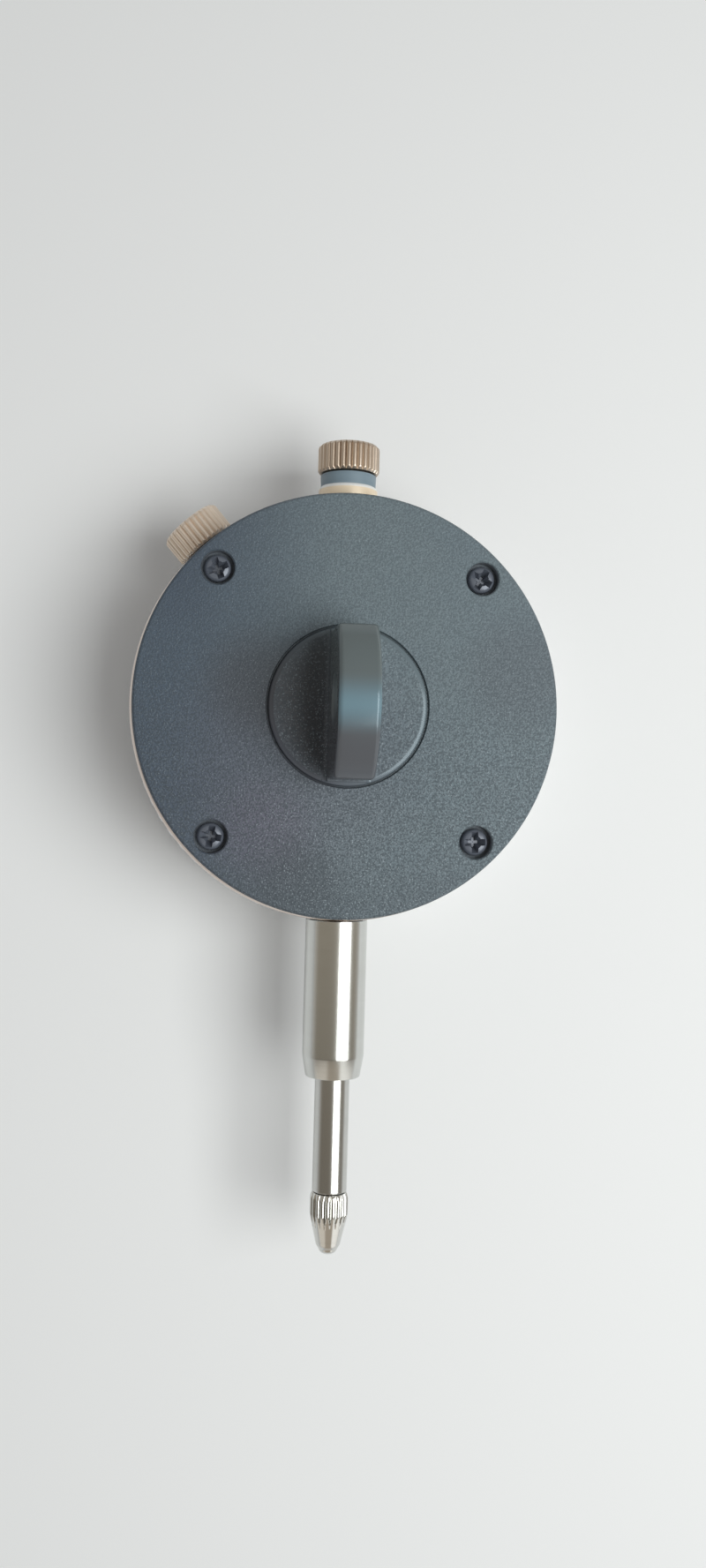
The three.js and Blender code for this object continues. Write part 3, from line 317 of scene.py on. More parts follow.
# %% [markdown]
# ## Finishes
# Every finish is one Principled shader. What changes over the surface goes through nodes, and
# what is the same everywhere is set on the shader's own socket. Patterns read Object coordinates,
# which are metres, so a scale of 4000 is a grain of a quarter of a millimetre.

# %% Make a finish from a pattern
def finish(name, pattern, **fixed):
    """A material; pattern(nodes, place) gives the sockets that change over the surface."""
    material = bpy.data.materials.new(name)
    nodes = fresh_nodes(material)
    place = nodes.add("ShaderNodeTexCoord", output="Object")
    fixed = {socket_name.replace("_", " "): value for socket_name, value in fixed.items()}
    shader = nodes.add("ShaderNodeBsdfPrincipled", **fixed, **pattern(nodes, place))
    nodes.close("ShaderNodeOutputMaterial", shader)
    return material


def noise(nodes, place, scale, detail=2.0, stretch=(1, 1, 1)):
    """Cloudy noise from 0 to 1, stretched along an axis by a smaller factor there."""
    spread = nodes.vector("MULTIPLY", place, stretch)
    return nodes.add("ShaderNodeTexNoise", Vector=spread, Scale=scale, Detail=detail)


def bump(nodes, height, strength, distance):
    return nodes.add("ShaderNodeBump", Height=height, Strength=strength, Distance=distance)


print("finish helpers ready")

# %% [markdown]
# ### Moulded cover
# The back cover and its lug are one black moulding. The tool's face was spark-eroded, so the
# cover has a fine pebbled grain, and pale dots on its tops are painted highlights, fewer on the
# side away from the lamp. The lug and the rim of the disc are smoother. Painted light makes the
# screws' pockets paler and the lug lighter at its top than below, and a bluish painted highlight,
# the lamp's reflection, lies in the middle of the lug's crest. Painted shade makes the cover
# darker and cooler on the side away from the lamp, lays the lug's shadow in dark brown on the disc
# and the cover beside it, and darkens the groove round the disc. The cover is also darker towards
# the stem and has faint patches of violet.

# %% Finish of the moulded cover
# The depth where the lug's own tone begins, just above the disc.
LUG_START = -7.2
# Each patch of tone: its centre across and up, its inner and outer radius, strength and colour.
# The third patch, dark brown, is painted shadow of the lug.
PATCHES_AND_PAINTED_SHADOW = [((7.0, 0.0, -8.0), 3.0, 20.0, 0.40, (98, 92, 106)),
           ((10.0, 0.0, -16.0), 2.0, 9.0, 0.35, (104, 90, 108)),
           ((11.5, 0.0, 2.5), 2.0, 9.0, 0.45, (60, 52, 50)),
           ((6.0, 0.0, -22.5), 2.0, 8.0, 0.50, (62, 64, 70)),
           ((-22.0, 0.0, 5.0), 3.0, 10.0, 0.35, (78, 78, 86))]

def moulded_cover(nodes, place):
    across, depth, height = [value / MM for value in nodes.split(place)]
    lug = depth.ramp(LUG_START, LUG_START + 0.8)
    flat = nodes.join(x=across, z=height)
    radius = nodes.length(flat)
    rim = radius.ramp(9.3, 9.45) * radius.fall(10.2, 10.3)
    # Painted shade: the groove round the disc is painted dark.
    groove = radius.ramp(9.9, 10.0) * radius.fall(10.12, 10.22)
    plain = lug.most(rim)
    # Painted highlight: the lamp's bluish reflection in the middle of the lug's crest.
    crest_painted_highlight = depth.ramp(4.7, 5.3) * abs(height + 0.6).fall(0.0, 3.9)
    # Painted light: the screws' pockets are painted paler than their shade.
    pocket_painted_light = depth.fall(-8.5, -8.1) * radius.ramp(20.5, 21.0) * radius.fall(25.7, 25.9)
    pebbles = noise(nodes, place, 3900.0, 2.0).ramp(0.36, 0.64)
    # The pale grain dots are painted highlights; the same noise also raises the grain's bump.
    grain_dots_and_glints = noise(nodes, place, 5600.0, 1.0).ramp(0.58, 0.72)
    clouds = noise(nodes, place, 60.0, 3.0)
    # Painted shade: the side away from the lamp is painted darker and cooler, with fewer painted
    # glints.
    side = across.ramp(-2.0, 22.0)
    # Painted shadow of the lug, on the disc and the cover on the side away from the lamp.
    lug_painted_shadow = radius.fall(6.5, 12.5) * across.ramp(0.0, 4.0)
    grainy = (1 - plain) * (1.25 - height.ramp(-14.0, 14.0) * 0.6)
    patches_and_painted_shadow = [(nodes.length(nodes.vector("SUBTRACT", flat, centre)).fall(inner, outer) * strength,
                tone) for centre, inner, outer, strength, tone in PATCHES_AND_PAINTED_SHADOW]
    # Each layer of tone lies over the one before it: where and how strongly it shows, its colour.
    base = nodes.mix(side, (108, 120, 125), (70, 80, 94))
    for share, tone in [
            (clouds.ramp(0.35, 0.65) * 0.25, (92, 107, 118)), *patches_and_painted_shadow,
            (height.fall(-25.0, -17.0) * 0.35, (74, 78, 84)), (lug_painted_shadow * 0.75, (64, 60, 60)),
            (pebbles * grainy * 0.58, (60, 66, 72)),
            (grain_dots_and_glints * grainy * (1 - side * 0.6) * 0.5, (164, 174, 180))]:
        base = nodes.mix(share, base, tone)
    # The lug's own tone, with painted light: lighter at its top than below.
    lug_tone_and_painted_light = nodes.mix(height.ramp(-6.0, 4.0), (88, 89, 93), (102, 110, 110))
    base = nodes.mix(lug * 0.9, base, lug_tone_and_painted_light)
    for share, tone in [(pocket_painted_light * 0.8, (122, 127, 134)), (groove * 0.5, (44, 46, 50)),
                        (crest_painted_highlight * 0.95, (113, 140, 151))]:
        base = nodes.mix(share, base, tone)
    grain = (pebbles + grain_dots_and_glints) * (1 - plain) * 0.6
    rough = 0.50 - clouds * 0.08 - plain * 0.28 - crest_painted_highlight * 0.06 + pebbles * (1 - plain) * 0.08
    return {"Base Color": base, "Roughness": rough,
            "Normal": bump(nodes, grain, 0.5, 0.05 * MM)}


cover_finish = finish("moulded_cover", moulded_cover, Specular_Tint=(0.82, 0.94, 1.0, 1))

# %% [markdown]
# ### Turned and plated metal
# A lathe leaves fine rings round the axis of a piece. Here they are noise that changes fast along
# the axis and slowly round it, and they move roughness and bump. Chrome has faint clouds and a
# few hairline scratches instead, and on the case it has a warm tone along the rim. The upper bush
# has painted light: its lower part is painted warm, a painted reflection of the champagne cap, a
# painted white highlight lies at its step, and above that a slate-blue band is painted shade and
# reflection under the cap.

# %% Finishes of turned and chromed metal
RELIEF = 0.01 * MM
ROUND_THE_AXIS = (0.02, 0.02, 1.0)
# Where the case's warm rim starts across its depth, and the bush's painted slate band up the
# stem's axis.
RIM_START, PAINTED_BAND_START = -11.8, 28.75

def turned_marks(nodes, place, fine):
    """Rings round the plunger's axis, broad ones and narrow ones."""
    broad = noise(nodes, place, fine * 0.12, 2.0, ROUND_THE_AXIS)
    narrow = noise(nodes, place, fine, 1.0, ROUND_THE_AXIS)
    return broad * 0.55 + narrow * 0.45


def turned_steel(colour, shade, rough, spread, fine):
    def pattern(nodes, place):
        marks = turned_marks(nodes, place, fine)
        handling = noise(nodes, place, 260.0, 3.0)
        return {"Base Color": nodes.mix(marks * 0.6 + handling * 0.4, colour, shade),
                "Roughness": rough + marks * spread + handling * spread * 0.6,
                "Normal": bump(nodes, marks, 0.12, RELIEF)}
    return pattern


def chrome_plate(nodes, place):
    clouds = noise(nodes, place, 120.0, 3.0)
    hairlines = noise(nodes, place, 900.0, 1.0, (1.0, 14.0, 0.6))
    scratch = hairlines.ramp(0.66, 0.70)
    return {"Base Color": nodes.mix(clouds, (226, 228, 230), (208, 210, 214)),
            "Roughness": 0.10 + clouds * 0.08 + scratch * 0.12,
            "Normal": bump(nodes, scratch, 0.05, RELIEF)}


# Chrome with a warm tone along the case's rim.
def worn_chrome_plate(nodes, place):
    depth = nodes.split(place)[1] / MM
    rim_tint = depth.ramp(RIM_START - 0.9, RIM_START)
    sockets = chrome_plate(nodes, place)
    sockets["Base Color"] = nodes.mix(rim_tint * 0.5, sockets["Base Color"], (214, 186, 164))
    return sockets


def collared_steel(nodes, place):
    height = nodes.split(place)[2] / MM
    # Painted shade and reflection: a slate-blue band under the cap.
    painted_shade_band = height.ramp(PAINTED_BAND_START, PAINTED_BAND_START + 0.12)
    # Painted highlight: a white band at the bush's step.
    edge = height.ramp(PAINTED_BAND_START - 0.45, PAINTED_BAND_START - 0.25)
    marks = turned_marks(nodes, place, 5200.0)
    # Painted reflection: the lower bush is painted warm, as it mirrors the champagne cap.
    painted_cap_reflection = nodes.mix(marks, (255, 238, 212), (246, 224, 192))
    steel = nodes.mix(edge, painted_cap_reflection, (245, 246, 244))
    # The colour of the painted slate-blue shade under the cap.
    painted_slate_shade = nodes.mix(marks, (132, 150, 160), (116, 134, 146))
    return {"Base Color": nodes.mix(painted_shade_band, steel, painted_slate_shade), "Metallic": 0.12 - painted_shade_band * 0.12,
            "Roughness": 0.34 + painted_shade_band * 0.04 + marks * 0.10}


bush_finish = finish("collared_steel", collared_steel)
stem_finish, plunger_finish, point_finish = [
    finish(name, turned_steel(*numbers), Metallic=1.0) for name, *numbers in (
        ("turned_steel", (216, 218, 216), (196, 196, 192), 0.13, 0.10, 5200.0),
        ("ground_plunger_steel", (210, 210, 208), (188, 188, 184), 0.15, 0.08, 9000.0),
        ("polished_point_steel", (222, 222, 219), (200, 200, 196), 0.07, 0.05, 9000.0))]
chrome_finish = finish("chrome_plate", chrome_plate, Metallic=1.0)
case_finish = finish("worn_chrome_plate", worn_chrome_plate, Metallic=1.0)
print("turned and chromed finishes made")

# %% [markdown]
# ### Clouded finishes
# The other finishes are one idea with other numbers: clouds blend two near colours, and finer
# marks roughen the surface and raise it a little. Ground steel and brass have long marks,
# champagne plate has dust, black oxide has pits, dial paint has a faint orange peel. Ink, lacquer
# and blued steel have clouds alone. The crystal has faint smears that change its roughness.

# %% Finishes of clouds and marks
def clouded(colour, shade, clouds, rough, marks=None, relief=0.0):
    """'clouds' and 'marks' are what noise takes, 'rough' is the least roughness with the shares
    that the clouds and the marks add to it, and 'relief' is how strongly the marks are raised."""
    def pattern(nodes, place):
        least, from_clouds, from_marks = rough
        blend = noise(nodes, place, *clouds)
        sockets = {"Base Color": nodes.mix(blend, colour, shade),
                   "Roughness": least + blend * from_clouds}
        if marks:
            fine = noise(nodes, place, *marks)
            sockets["Roughness"] = sockets["Roughness"] + fine * from_marks
            sockets["Normal"] = bump(nodes, fine, relief, RELIEF)
        return sockets
    return pattern


def champagne(colour, shade):
    return clouded(colour, shade, (340.0, 3.0), (0.26, 0.12, 0.08), (3200.0, 2.0), 0.10)


ground = clouded((196, 198, 200), (170, 172, 176), (200.0, 2.0), (0.24, 0.0, 0.2),
                 (2600.0, 2.0, (1.0, 1.0, 0.04)), 0.15)
champagne_finish = finish("champagne_plate", champagne((212, 198, 183), (194, 178, 162)),
                          Metallic=1.0)
# A paler copy of the champagne plate, for the clamp knob.
paler_champagne = finish("paler_champagne_plate", champagne((238, 224, 209), (224, 209, 193)),
                        Metallic=0.6)
screw_finish = finish("black_oxide", clouded(
    (92, 97, 107), (120, 126, 137), (800.0, 3.0), (0.24, 0.14, 0.0), (6000.0, 2.0), 0.2),
    Metallic=0.2)
brass_finish = finish("stamped_brass", clouded(
    (214, 178, 104), (186, 146, 78), (300.0, 3.0), (0.26, 0.0, 0.16),
    (2400.0, 2.0, (0.05, 1.0, 1.0)), 0.1), Metallic=1.0)
ground_finish = finish("ground_steel", ground, Metallic=1.0)
spring_finish = finish("spring_steel", ground, Metallic=1.0)
blued_finish = finish("blued_steel", clouded(
    (70, 86, 128), (96, 104, 140), (500.0, 2.0), (0.22, 0.12, 0.0)), Metallic=1.0)
dial_finish = finish("dial_paint", clouded(
    (240, 240, 236), (230, 230, 226), (90.0, 2.0), (0.42, 0.0, 0.14), (2600.0, 2.0), 0.10))
ink_finish = finish("dial_ink", clouded(
    (18, 18, 20), (34, 34, 38), (2200.0, 3.0), (0.40, 0.2, 0.0)))
hand_finish = finish("hand_lacquer", clouded(
    (16, 16, 18), (30, 30, 34), (700.0, 3.0), (0.24, 0.16, 0.0)), Metallic=0.2)
print("clouded finishes made")

# %% Finish of the crystal
def clear_crystal(nodes, place):
    smears = noise(nodes, place, 60.0, 4.0, (1.0, 1.0, 2.4))
    return {"Roughness": smears.ramp(0.45, 0.8) * 0.07}


crystal_finish = finish("clear_acrylic", clear_crystal, Transmission_Weight=1.0, IOR=1.49,
                        Base_Color=(0.995, 1.0, 0.998, 1))
print("crystal finish made")

# %% [markdown]
# ## Making shapes
# Nearly every piece of a gauge comes off a lathe, so one helper spins a profile round Z in
# millimetres. No real corner is quite sharp: `softened` gives each one a small round, and those
# rounds catch the light as thin bright lines. What isn't round is pushed out from an outline, and
# drills and blocks cut their own form.

# %% Soften and spin a profile
def softened(profile, radius, steps=3):
    """The closed profile with each corner off the axis rounded."""
    points = [Vector(point) for point in profile]
    result = []
    for i, point in enumerate(points):
        before, after = points[i - 1], points[(i + 1) % len(points)]
        if point.x == 0:
            result.append(point)
            continue
        reach = min(radius, 0.45 * (point - before).length, 0.45 * (after - point).length)
        start = point + (before - point).normalized() * reach
        end = point + (after - point).normalized() * reach
        for step in range(steps + 1):
            t = step / steps
            result.append(start.lerp(point, t).lerp(point.lerp(end, t), t))
    return [(point.x, point.y) for point in result]


def built(name, build):
    """The object of a finished bmesh."""
    mesh = bpy.data.meshes.new(name)
    build.to_mesh(mesh)
    build.free()
    return new_object(name, mesh)


def join_rings(build, lower, upper):
    """The faces between two rings of points, where a point on the axis is a ring of one."""
    sides = max(len(lower), len(upper))
    for i in range(sides if sides > 1 else 0):
        j = (i + 1) % sides
        corners = [lower[0]] if len(lower) == 1 else [lower[i], lower[j]]
        corners += [upper[0]] if len(upper) == 1 else [upper[j], upper[i]]
        build.faces.new(corners)


def spun(name, profile, sides):
    """A solid round Z from a closed profile of (radius, height) pairs, in millimetres."""
    build = bmesh.new()
    turns = [2 * pi * i / sides for i in range(sides)]
    rings = []
    for radius, height in profile:
        spots = [(radius * cos(turn), radius * sin(turn), height) for turn in turns]
        rings.append([build.verts.new(spot) for spot in (spots if radius else spots[:1])])
    for lower, upper in zip(rings, rings[1:] + rings[:1]):
        join_rings(build, lower, upper)
    bmesh.ops.recalc_face_normals(build, faces=build.faces)
    return built(name, build)


def flat_ring(name, inner, outer, back, face, sides):
    """A thin disc with a hole, its edges softened."""
    profile = [(inner, back), (outer, back), (outer, face), (inner, face)]
    return spun(name, softened(profile, 0.05), sides)


def drill(name, profile, sides=64):
    """A tool along Z that goes from the axis through the profile and back to the axis."""
    return spun(name, [(0, profile[0][1]), *profile, (0, profile[-1][1])], sides)


def bar_tool(radius, bottom, top):
    return drill("bar_tool", [(radius, bottom), (radius, top)])


print("lathe ready")

# %% Outlines and blocks
def arc(centre, radius, start, end, steps):
    """Points on part of a circle, with both ends."""
    turns = [start + (end - start) * i / steps for i in range(steps + 1)]
    return [(centre[0] + radius * cos(turn), centre[1] + radius * sin(turn))
            for turn in turns]


def pushed_out(name, outline, depth, edge=0.0, segments=4):
    """An outline in X and Y pushed out along Z, centred, with its edges rounded."""
    build = bmesh.new()
    face = build.faces.new([build.verts.new((x, y, -depth / 2)) for x, y in outline])
    pushed = bmesh.ops.extrude_face_region(build, geom=[face])
    lifted = [item for item in pushed["geom"] if isinstance(item, bmesh.types.BMVert)]
    bmesh.ops.translate(build, verts=lifted, vec=(0, 0, depth))
    bmesh.ops.recalc_face_normals(build, faces=build.faces)
    if edge:
        rims = [item for item in build.edges
                if abs(item.verts[0].co.z - item.verts[1].co.z) < depth / 2]
        bmesh.ops.bevel(build, geom=rims, offset=edge, segments=segments, affect="EDGES",
                        profile=0.5, clamp_overlap=True)
    return built(name, build)


def block(name, near, near_size, far, far_size):
    """A block along Z from 'near' to 'far', with its width and depth at either end."""
    build = bmesh.new()
    bmesh.ops.create_cube(build, size=1.0)
    for corner in build.verts:
        height, (width, depth) = (far, far_size) if corner.co.z > 0 else (near, near_size)
        corner.co = Vector((corner.co.x * width, corner.co.y * depth, height))
    return built(name, build)


print("outline helpers ready")

# %% Cut, join and finish a piece
def applied(obj):
    """The object with its modifiers turned into a plain mesh."""
    view = bpy.context.evaluated_depsgraph_get()
    mesh = bpy.data.meshes.new_from_object(obj.evaluated_get(view))
    obj.modifiers.clear()
    obj.data = mesh
    return obj


def combined(obj, operation, tools):
    """The object with each tool joined to it or cut from it."""
    for tool in tools:
        modifier = obj.modifiers.new("combine", "BOOLEAN")
        modifier.operation, modifier.solver, modifier.object = operation, "EXACT", tool
        applied(obj)
        bpy.data.objects.remove(tool)
    return obj


def at(x, y, z=0.0):
    return Matrix.Translation((x, y, z))


def moved(obj, matrix):
    obj.data.transform(matrix)
    return obj


# Depths run from the cover's outer face, at BACK, towards the dial. ON_AXIS is the place of a
# piece spun round the case's axis, with its heights as depths.
BACK = -8.0
PLUNGER_DEPTH = 7.5
CLAMP_DEPTH = 8.6
CLAMP_TURN = 41
CASE = at(0, BACK)
LAID = Matrix.Rotation(radians(90), 4, "X")
ON_AXIS = CASE @ LAID
IN_STEM = at(0, -PLUNGER_DEPTH)
IN_CLAMP = at(0, -CLAMP_DEPTH) @ Matrix.Rotation(radians(CLAMP_TURN), 4, "Y")
made = []

def finished(obj, body, material, replaced=(), place=CASE, crease=32):
    """Put a piece in its place in metres, give it its finish and let it ride on its body."""
    obj.data.transform(Matrix.Scale(MM, 4) @ place)
    obj.data.materials.clear()
    obj.data.materials.append(material)
    obj.data.shade_smooth()
    obj.data.set_sharp_from_angle(angle=radians(crease))
    even = obj.modifiers.new("even_shading", "WEIGHTED_NORMAL")
    even.keep_sharp = True
    applied(obj)
    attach(obj, body)
    if replaced:
        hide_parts(*replaced)
    made.append(obj.name)
    print(f"{obj.name}: {len(obj.data.polygons)} faces on {body}")


print("places and finishing ready")

# %% [markdown]
# ## Geometry Nodes for what repeats
# A knurl, a ring of graduations and a set of screws are one small form many times over. Each tree
# below has named inputs for its sizes, which the modifier sets by the socket's identifier.

# %% Helpers for geometry trees
def geometry_tree(name, numbers):
    """A tree with a geometry input, numbers with their defaults, and a geometry output."""
    tree = bpy.data.node_groups.new(name, "GeometryNodeTree")
    sockets = [("Geometry", "INPUT", "Geometry"), ("Geometry", "OUTPUT", "Geometry"),
               *[(title, "INPUT", "Float") for title in numbers],
               ("Material", "INPUT", "Material")]
    for title, way, kind in sockets:
        socket = tree.interface.new_socket(title, in_out=way, socket_type=f"NodeSocket{kind}")
        if title in numbers:
            socket.default_value = numbers[title]
    nodes = Nodes(tree)
    start = tree.nodes.new("NodeGroupInput")
    inputs = {socket.name: Value(nodes, socket) for socket in start.outputs if socket.name}
    return tree, nodes, inputs


def end_tree(nodes, geometry, material):
    """Realize Instances and Set Material close every tree, because the export drops instances."""
    plain = nodes.add("GeometryNodeRealizeInstances", Geometry=geometry)
    coated = nodes.add("GeometryNodeSetMaterial", Geometry=plain, Material=material)
    nodes.close("NodeGroupOutput", coated)


def run_tree(obj, tree, material, **numbers):
    """Set a tree's inputs on the object, then keep the result as a plain mesh."""
    modifier = obj.modifiers.new(tree.name, "NODES")
    modifier.node_group = tree
    wanted = {title.replace("_", " "): value for title, value in numbers.items()}
    wanted["Material"] = material
    for item in tree.interface.items_tree:
        if item.in_out == "INPUT" and item.name in wanted:
            modifier[item.identifier] = wanted[item.name]
    return applied(obj)


# %% [markdown]
# ### Straight knurl
# On the real knobs a wheel rolls V grooves into the rim. The tree never lets the distance from
# the axis be more than the outer radius less the groove at that angle, so on the cone of the
# contact point the grooves run out by themselves.

# %% The knurl tree
def knurl_tree():
    tree, nodes, given = geometry_tree("straight_knurl", {
        "Flutes": 32.0, "Groove depth": 0.28, "Outer radius": 4.0, "Bottom": 0.0, "Top": 10.0})
    place = nodes.add("GeometryNodeInputPosition")
    x, y, z = nodes.split(place)
    radius = nodes.math("SQRT", x * x + y * y).most(0.0001)
    angle = nodes.math("ARCTAN2", y, x)
    ridge = abs(nodes.math("SINE", angle * given["Flutes"] * 0.5))
    groove = (1 - ridge).power(1.5) * given["Groove depth"]
    cut = radius.least(given["Outer radius"] - groove)
    inside = (z > given["Bottom"]) * (z < given["Top"])
    share = 1 + (cut / radius - 1) * inside
    moved_place = nodes.join(x * share, y * share, z)
    shaped = nodes.add("GeometryNodeSetPosition", Geometry=given["Geometry"], Position=moved_place)
    end_tree(nodes, shaped, given["Material"])
    return tree


knurl = knurl_tree()
POINTS_A_FLUTE = 8

def knurled(name, profile, flutes, material, bottom, top, depth=0.34):
    """A turned piece with flutes of this depth in its widest part, between bottom and top."""
    return run_tree(spun(name, profile, flutes * POINTS_A_FLUTE), knurl, material,
                    Flutes=float(flutes), Groove_depth=depth, Bottom=bottom, Top=top,
                    Outer_radius=max(radius for radius, height in profile))


print("knurl tree has", len(knurl.nodes), "nodes")

# %% [markdown]
# ## Back cover with its lug
# The cover is turned first, then the lug is joined to it and the four counterbores are cut. The
# lug is an outline with a domed crest, pushed out to 5 mm and rounded along its edges; a small
# fillet spreads it into the raised disc. The real moulding is one solid too, and its few sharp
# seams are where the joints and cuts fall here.

# %% Cover blank
cover_profile = softened([
    (0, 3.27), (26.66, 3.27), (26.66, 0.3), (26.4, 0.0), (10.24, 0.0), (10.2, 0.5), (9.98, 0.5),
    (9.94, -0.06), (9.78, -0.28), (9.36, -0.4), (0, -0.4)], 0.08)
cover = spun("back_cover_fine", cover_profile, 256)
print("cover blank:", len(cover.data.polygons), "faces")

# %% Lug outline
# Half its length, its height, the radii of its crest and corners, and how far it goes down into
# the cover; then its thickness, the round of its edges, and its hole with its bevelled mouths.
LUG_HALF, LUG_HEIGHT, LUG_CREST, LUG_CORNER, LUG_ROOT = 9.2, 13.9, 11.35, 1.2, -2.0
LUG_THICKNESS, LUG_EDGE = 5.0, 0.6
LUG_HOLE, LUG_HOLE_HEIGHT, LUG_HOLE_BEVEL = 3.25, 8.0, 0.3

crest_centre = LUG_HEIGHT - LUG_CREST
inset = LUG_HALF - LUG_CORNER
corner_turn = acos(inset / (LUG_CREST - LUG_CORNER))
corner_height = crest_centre + (LUG_CREST - LUG_CORNER) * sin(corner_turn)
lug_outline = [(-LUG_HALF, LUG_ROOT), (LUG_HALF, LUG_ROOT)]
lug_outline += arc((inset, corner_height), LUG_CORNER, 0, corner_turn, 10)
lug_outline += arc((0, crest_centre), LUG_CREST, corner_turn, pi - corner_turn, 48)[1:-1]
lug_outline += arc((-inset, corner_height), LUG_CORNER, pi - corner_turn, pi, 10)

# The outline's X runs down the gauge and its Y is the height above the cover.
LUG_TURN = Matrix(((0, 0, 1, 0), (0, 1, 0, 0), (-1, 0, 0, 0), (0, 0, 0, 1)))
lug = pushed_out("lug_blank", lug_outline, LUG_THICKNESS, LUG_EDGE)
print("lug outline:", len(lug_outline), "points")

# %% Lug hole, foot and counterbores
# The drill ends beyond the lug's sides and widens there, so it bevels both mouths of the hole.
drill_end = LUG_THICKNESS / 2 + LUG_HOLE_BEVEL
mouth = [(LUG_HOLE + i * LUG_HOLE_BEVEL, drill_end - (2 - i) * LUG_HOLE_BEVEL) for i in range(3)]
hole = drill("hole_tool", [(x, -z) for x, z in reversed(mouth)] + mouth, 96)
hole = moved(hole, at(0, LUG_HOLE_HEIGHT))
lug = moved(combined(lug, "DIFFERENCE", [hole]), LUG_TURN)

FOOT_HALF, FOOT_ROUND, FOOT_ROOT, DISC_FACE = 2.45, 0.6, -0.6, 0.4
fillet = arc((FOOT_HALF + FOOT_ROUND, DISC_FACE + FOOT_ROUND), FOOT_ROUND, -pi / 2, -pi, 6)
foot_outline = [(-FOOT_HALF - FOOT_ROUND, FOOT_ROOT), (FOOT_HALF + FOOT_ROUND, FOOT_ROOT)]
foot_outline += fillet + [(-x, y) for x, y in reversed(fillet)]
foot = pushed_out("lug_foot", foot_outline, 2 * LUG_HALF + 0.5, 0.3)

SCREW_OFFSET = 16.603
SCREW_PLACES = [(x * SCREW_OFFSET, z * SCREW_OFFSET)
                for x, z in ((-1, 1), (1, 1), (1, -1), (-1, -1))]
POCKET_RADIUS, POCKET_DEPTH, SHANK_HOLE = 2.1, 1.8, 1.2

def counterbore(x, z):
    """A stepped drill for one cover screw, which breaks the edge of its pocket."""
    mouth = POCKET_RADIUS + 0.14
    profile = [(mouth, -1.0), (mouth, 0.0), (POCKET_RADIUS, 0.14), (POCKET_RADIUS, POCKET_DEPTH),
               (SHANK_HOLE, POCKET_DEPTH), (SHANK_HOLE, 4.0)]
    return moved(drill("counterbore", profile), at(x, 0, z) @ LAID)


cover = moved(cover, LAID)
cover = combined(cover, "UNION", [foot, lug])
cover = combined(cover, "DIFFERENCE", [counterbore(x, z) for x, z in SCREW_PLACES])
finished(cover, "case", cover_finish, ["back_cover"])

# %% [markdown]
# ## Cover screws
# Four small pan-head screws with a cross recess sit in the counterbores. The recess is a cone and
# two tapered blocks cut from the head. One screw is made, and a tree puts it on four points. Each
# point carries its own turn, since nobody lines screws up.

# %% One screw
RECESS_TOP, RECESS_END = 0.3, 2.1
RECESS_SIZES = [((3.0, 0.92), (1.2, 0.34)), ((0.92, 3.0), (0.34, 1.2))]
screw = spun("screw_model", softened([
    (0, 0.42), (0.9, 0.46), (1.35, 0.58), (1.62, 0.82), (1.7, 1.15), (1.7, 1.65), (0.9, 1.65),
    (0.9, 6.4), (0.6, 6.7), (0, 6.7)], 0.12, 2), 40)
recess = [spun("recess_core", [(0, RECESS_TOP), (0.92, RECESS_TOP), (0.42, 1.6), (0, 2.2)], 32)]
recess += [block("recess_wing", RECESS_TOP, top, RECESS_END, end) for top, end in RECESS_SIZES]
screw = moved(combined(screw, "DIFFERENCE", recess), LAID)
print("screw model:", len(screw.data.polygons), "faces")

# %% Screws on four points
SCREW_TURNS = (-0.49, 0.38, -0.16, 0.03)
SCREW_NODES = [f"cover_screw_{i}" for i in (1, 2, 3, 4)]

def screw_tree(model):
    tree, nodes, given = geometry_tree("screws_on_points", {"Size": 1.0})
    info = nodes.add("GeometryNodeObjectInfo", output="Geometry", Object=model)
    turn = nodes.add("GeometryNodeInputNamedAttribute", output="Attribute", Name="turn")
    rotation = nodes.add("FunctionNodeEulerToRotation", Euler=nodes.join(y=turn))
    placed = nodes.add("GeometryNodeInstanceOnPoints", Points=given["Geometry"],
                       Instance=info, Rotation=rotation, Scale=given["Size"])
    end_tree(nodes, placed, given["Material"])
    return tree


points_mesh = bpy.data.meshes.new("cover_screws")
points_mesh.from_pydata([(x, 0, z) for x, z in SCREW_PLACES], [], [])
turn_data = points_mesh.attributes.new("turn", "FLOAT", "POINT")
turn_data.data.foreach_set("value", SCREW_TURNS)
screws = run_tree(new_object("cover_screws", points_mesh), screw_tree(screw), screw_finish,
                  Size=1.0)
bpy.data.objects.remove(screw)
finished(screws, "case", screw_finish, SCREW_NODES)

# %% [markdown]
# ## Case
# The case is a deep ring with a floor, turned from brass and plated. Its wall is bored for the
# stem, the bush and the clamp screw, and slotted for the shoe that the clamp screw carries. Its
# floor is bored for the three arbors, and the take-up arbor's bore is blind.

# %% Turn the case and cut its openings
WALL_INSIDE, WALL_OUTSIDE = 23.0, 28.5
STEM_BORE, CLAMP_BORE = 3.5, 1.3
SHOE_SLOT, SHOE_SLOT_SHIFT = (6.8, 8.5), CLAMP_DEPTH - 8.55
RACK_ARBOR = (-3.39155, 10.46409)
TAKE_UP_ARBOR = (-3.39155, -10.46409)
# Each bore of the floor: its place across and up, its radius and the depth where it ends.
ARBOR_BORES = [((0, 0), 0.9, 16.0), (RACK_ARBOR, 0.9, 16.0), (TAKE_UP_ARBOR, 0.7, 15.0)]

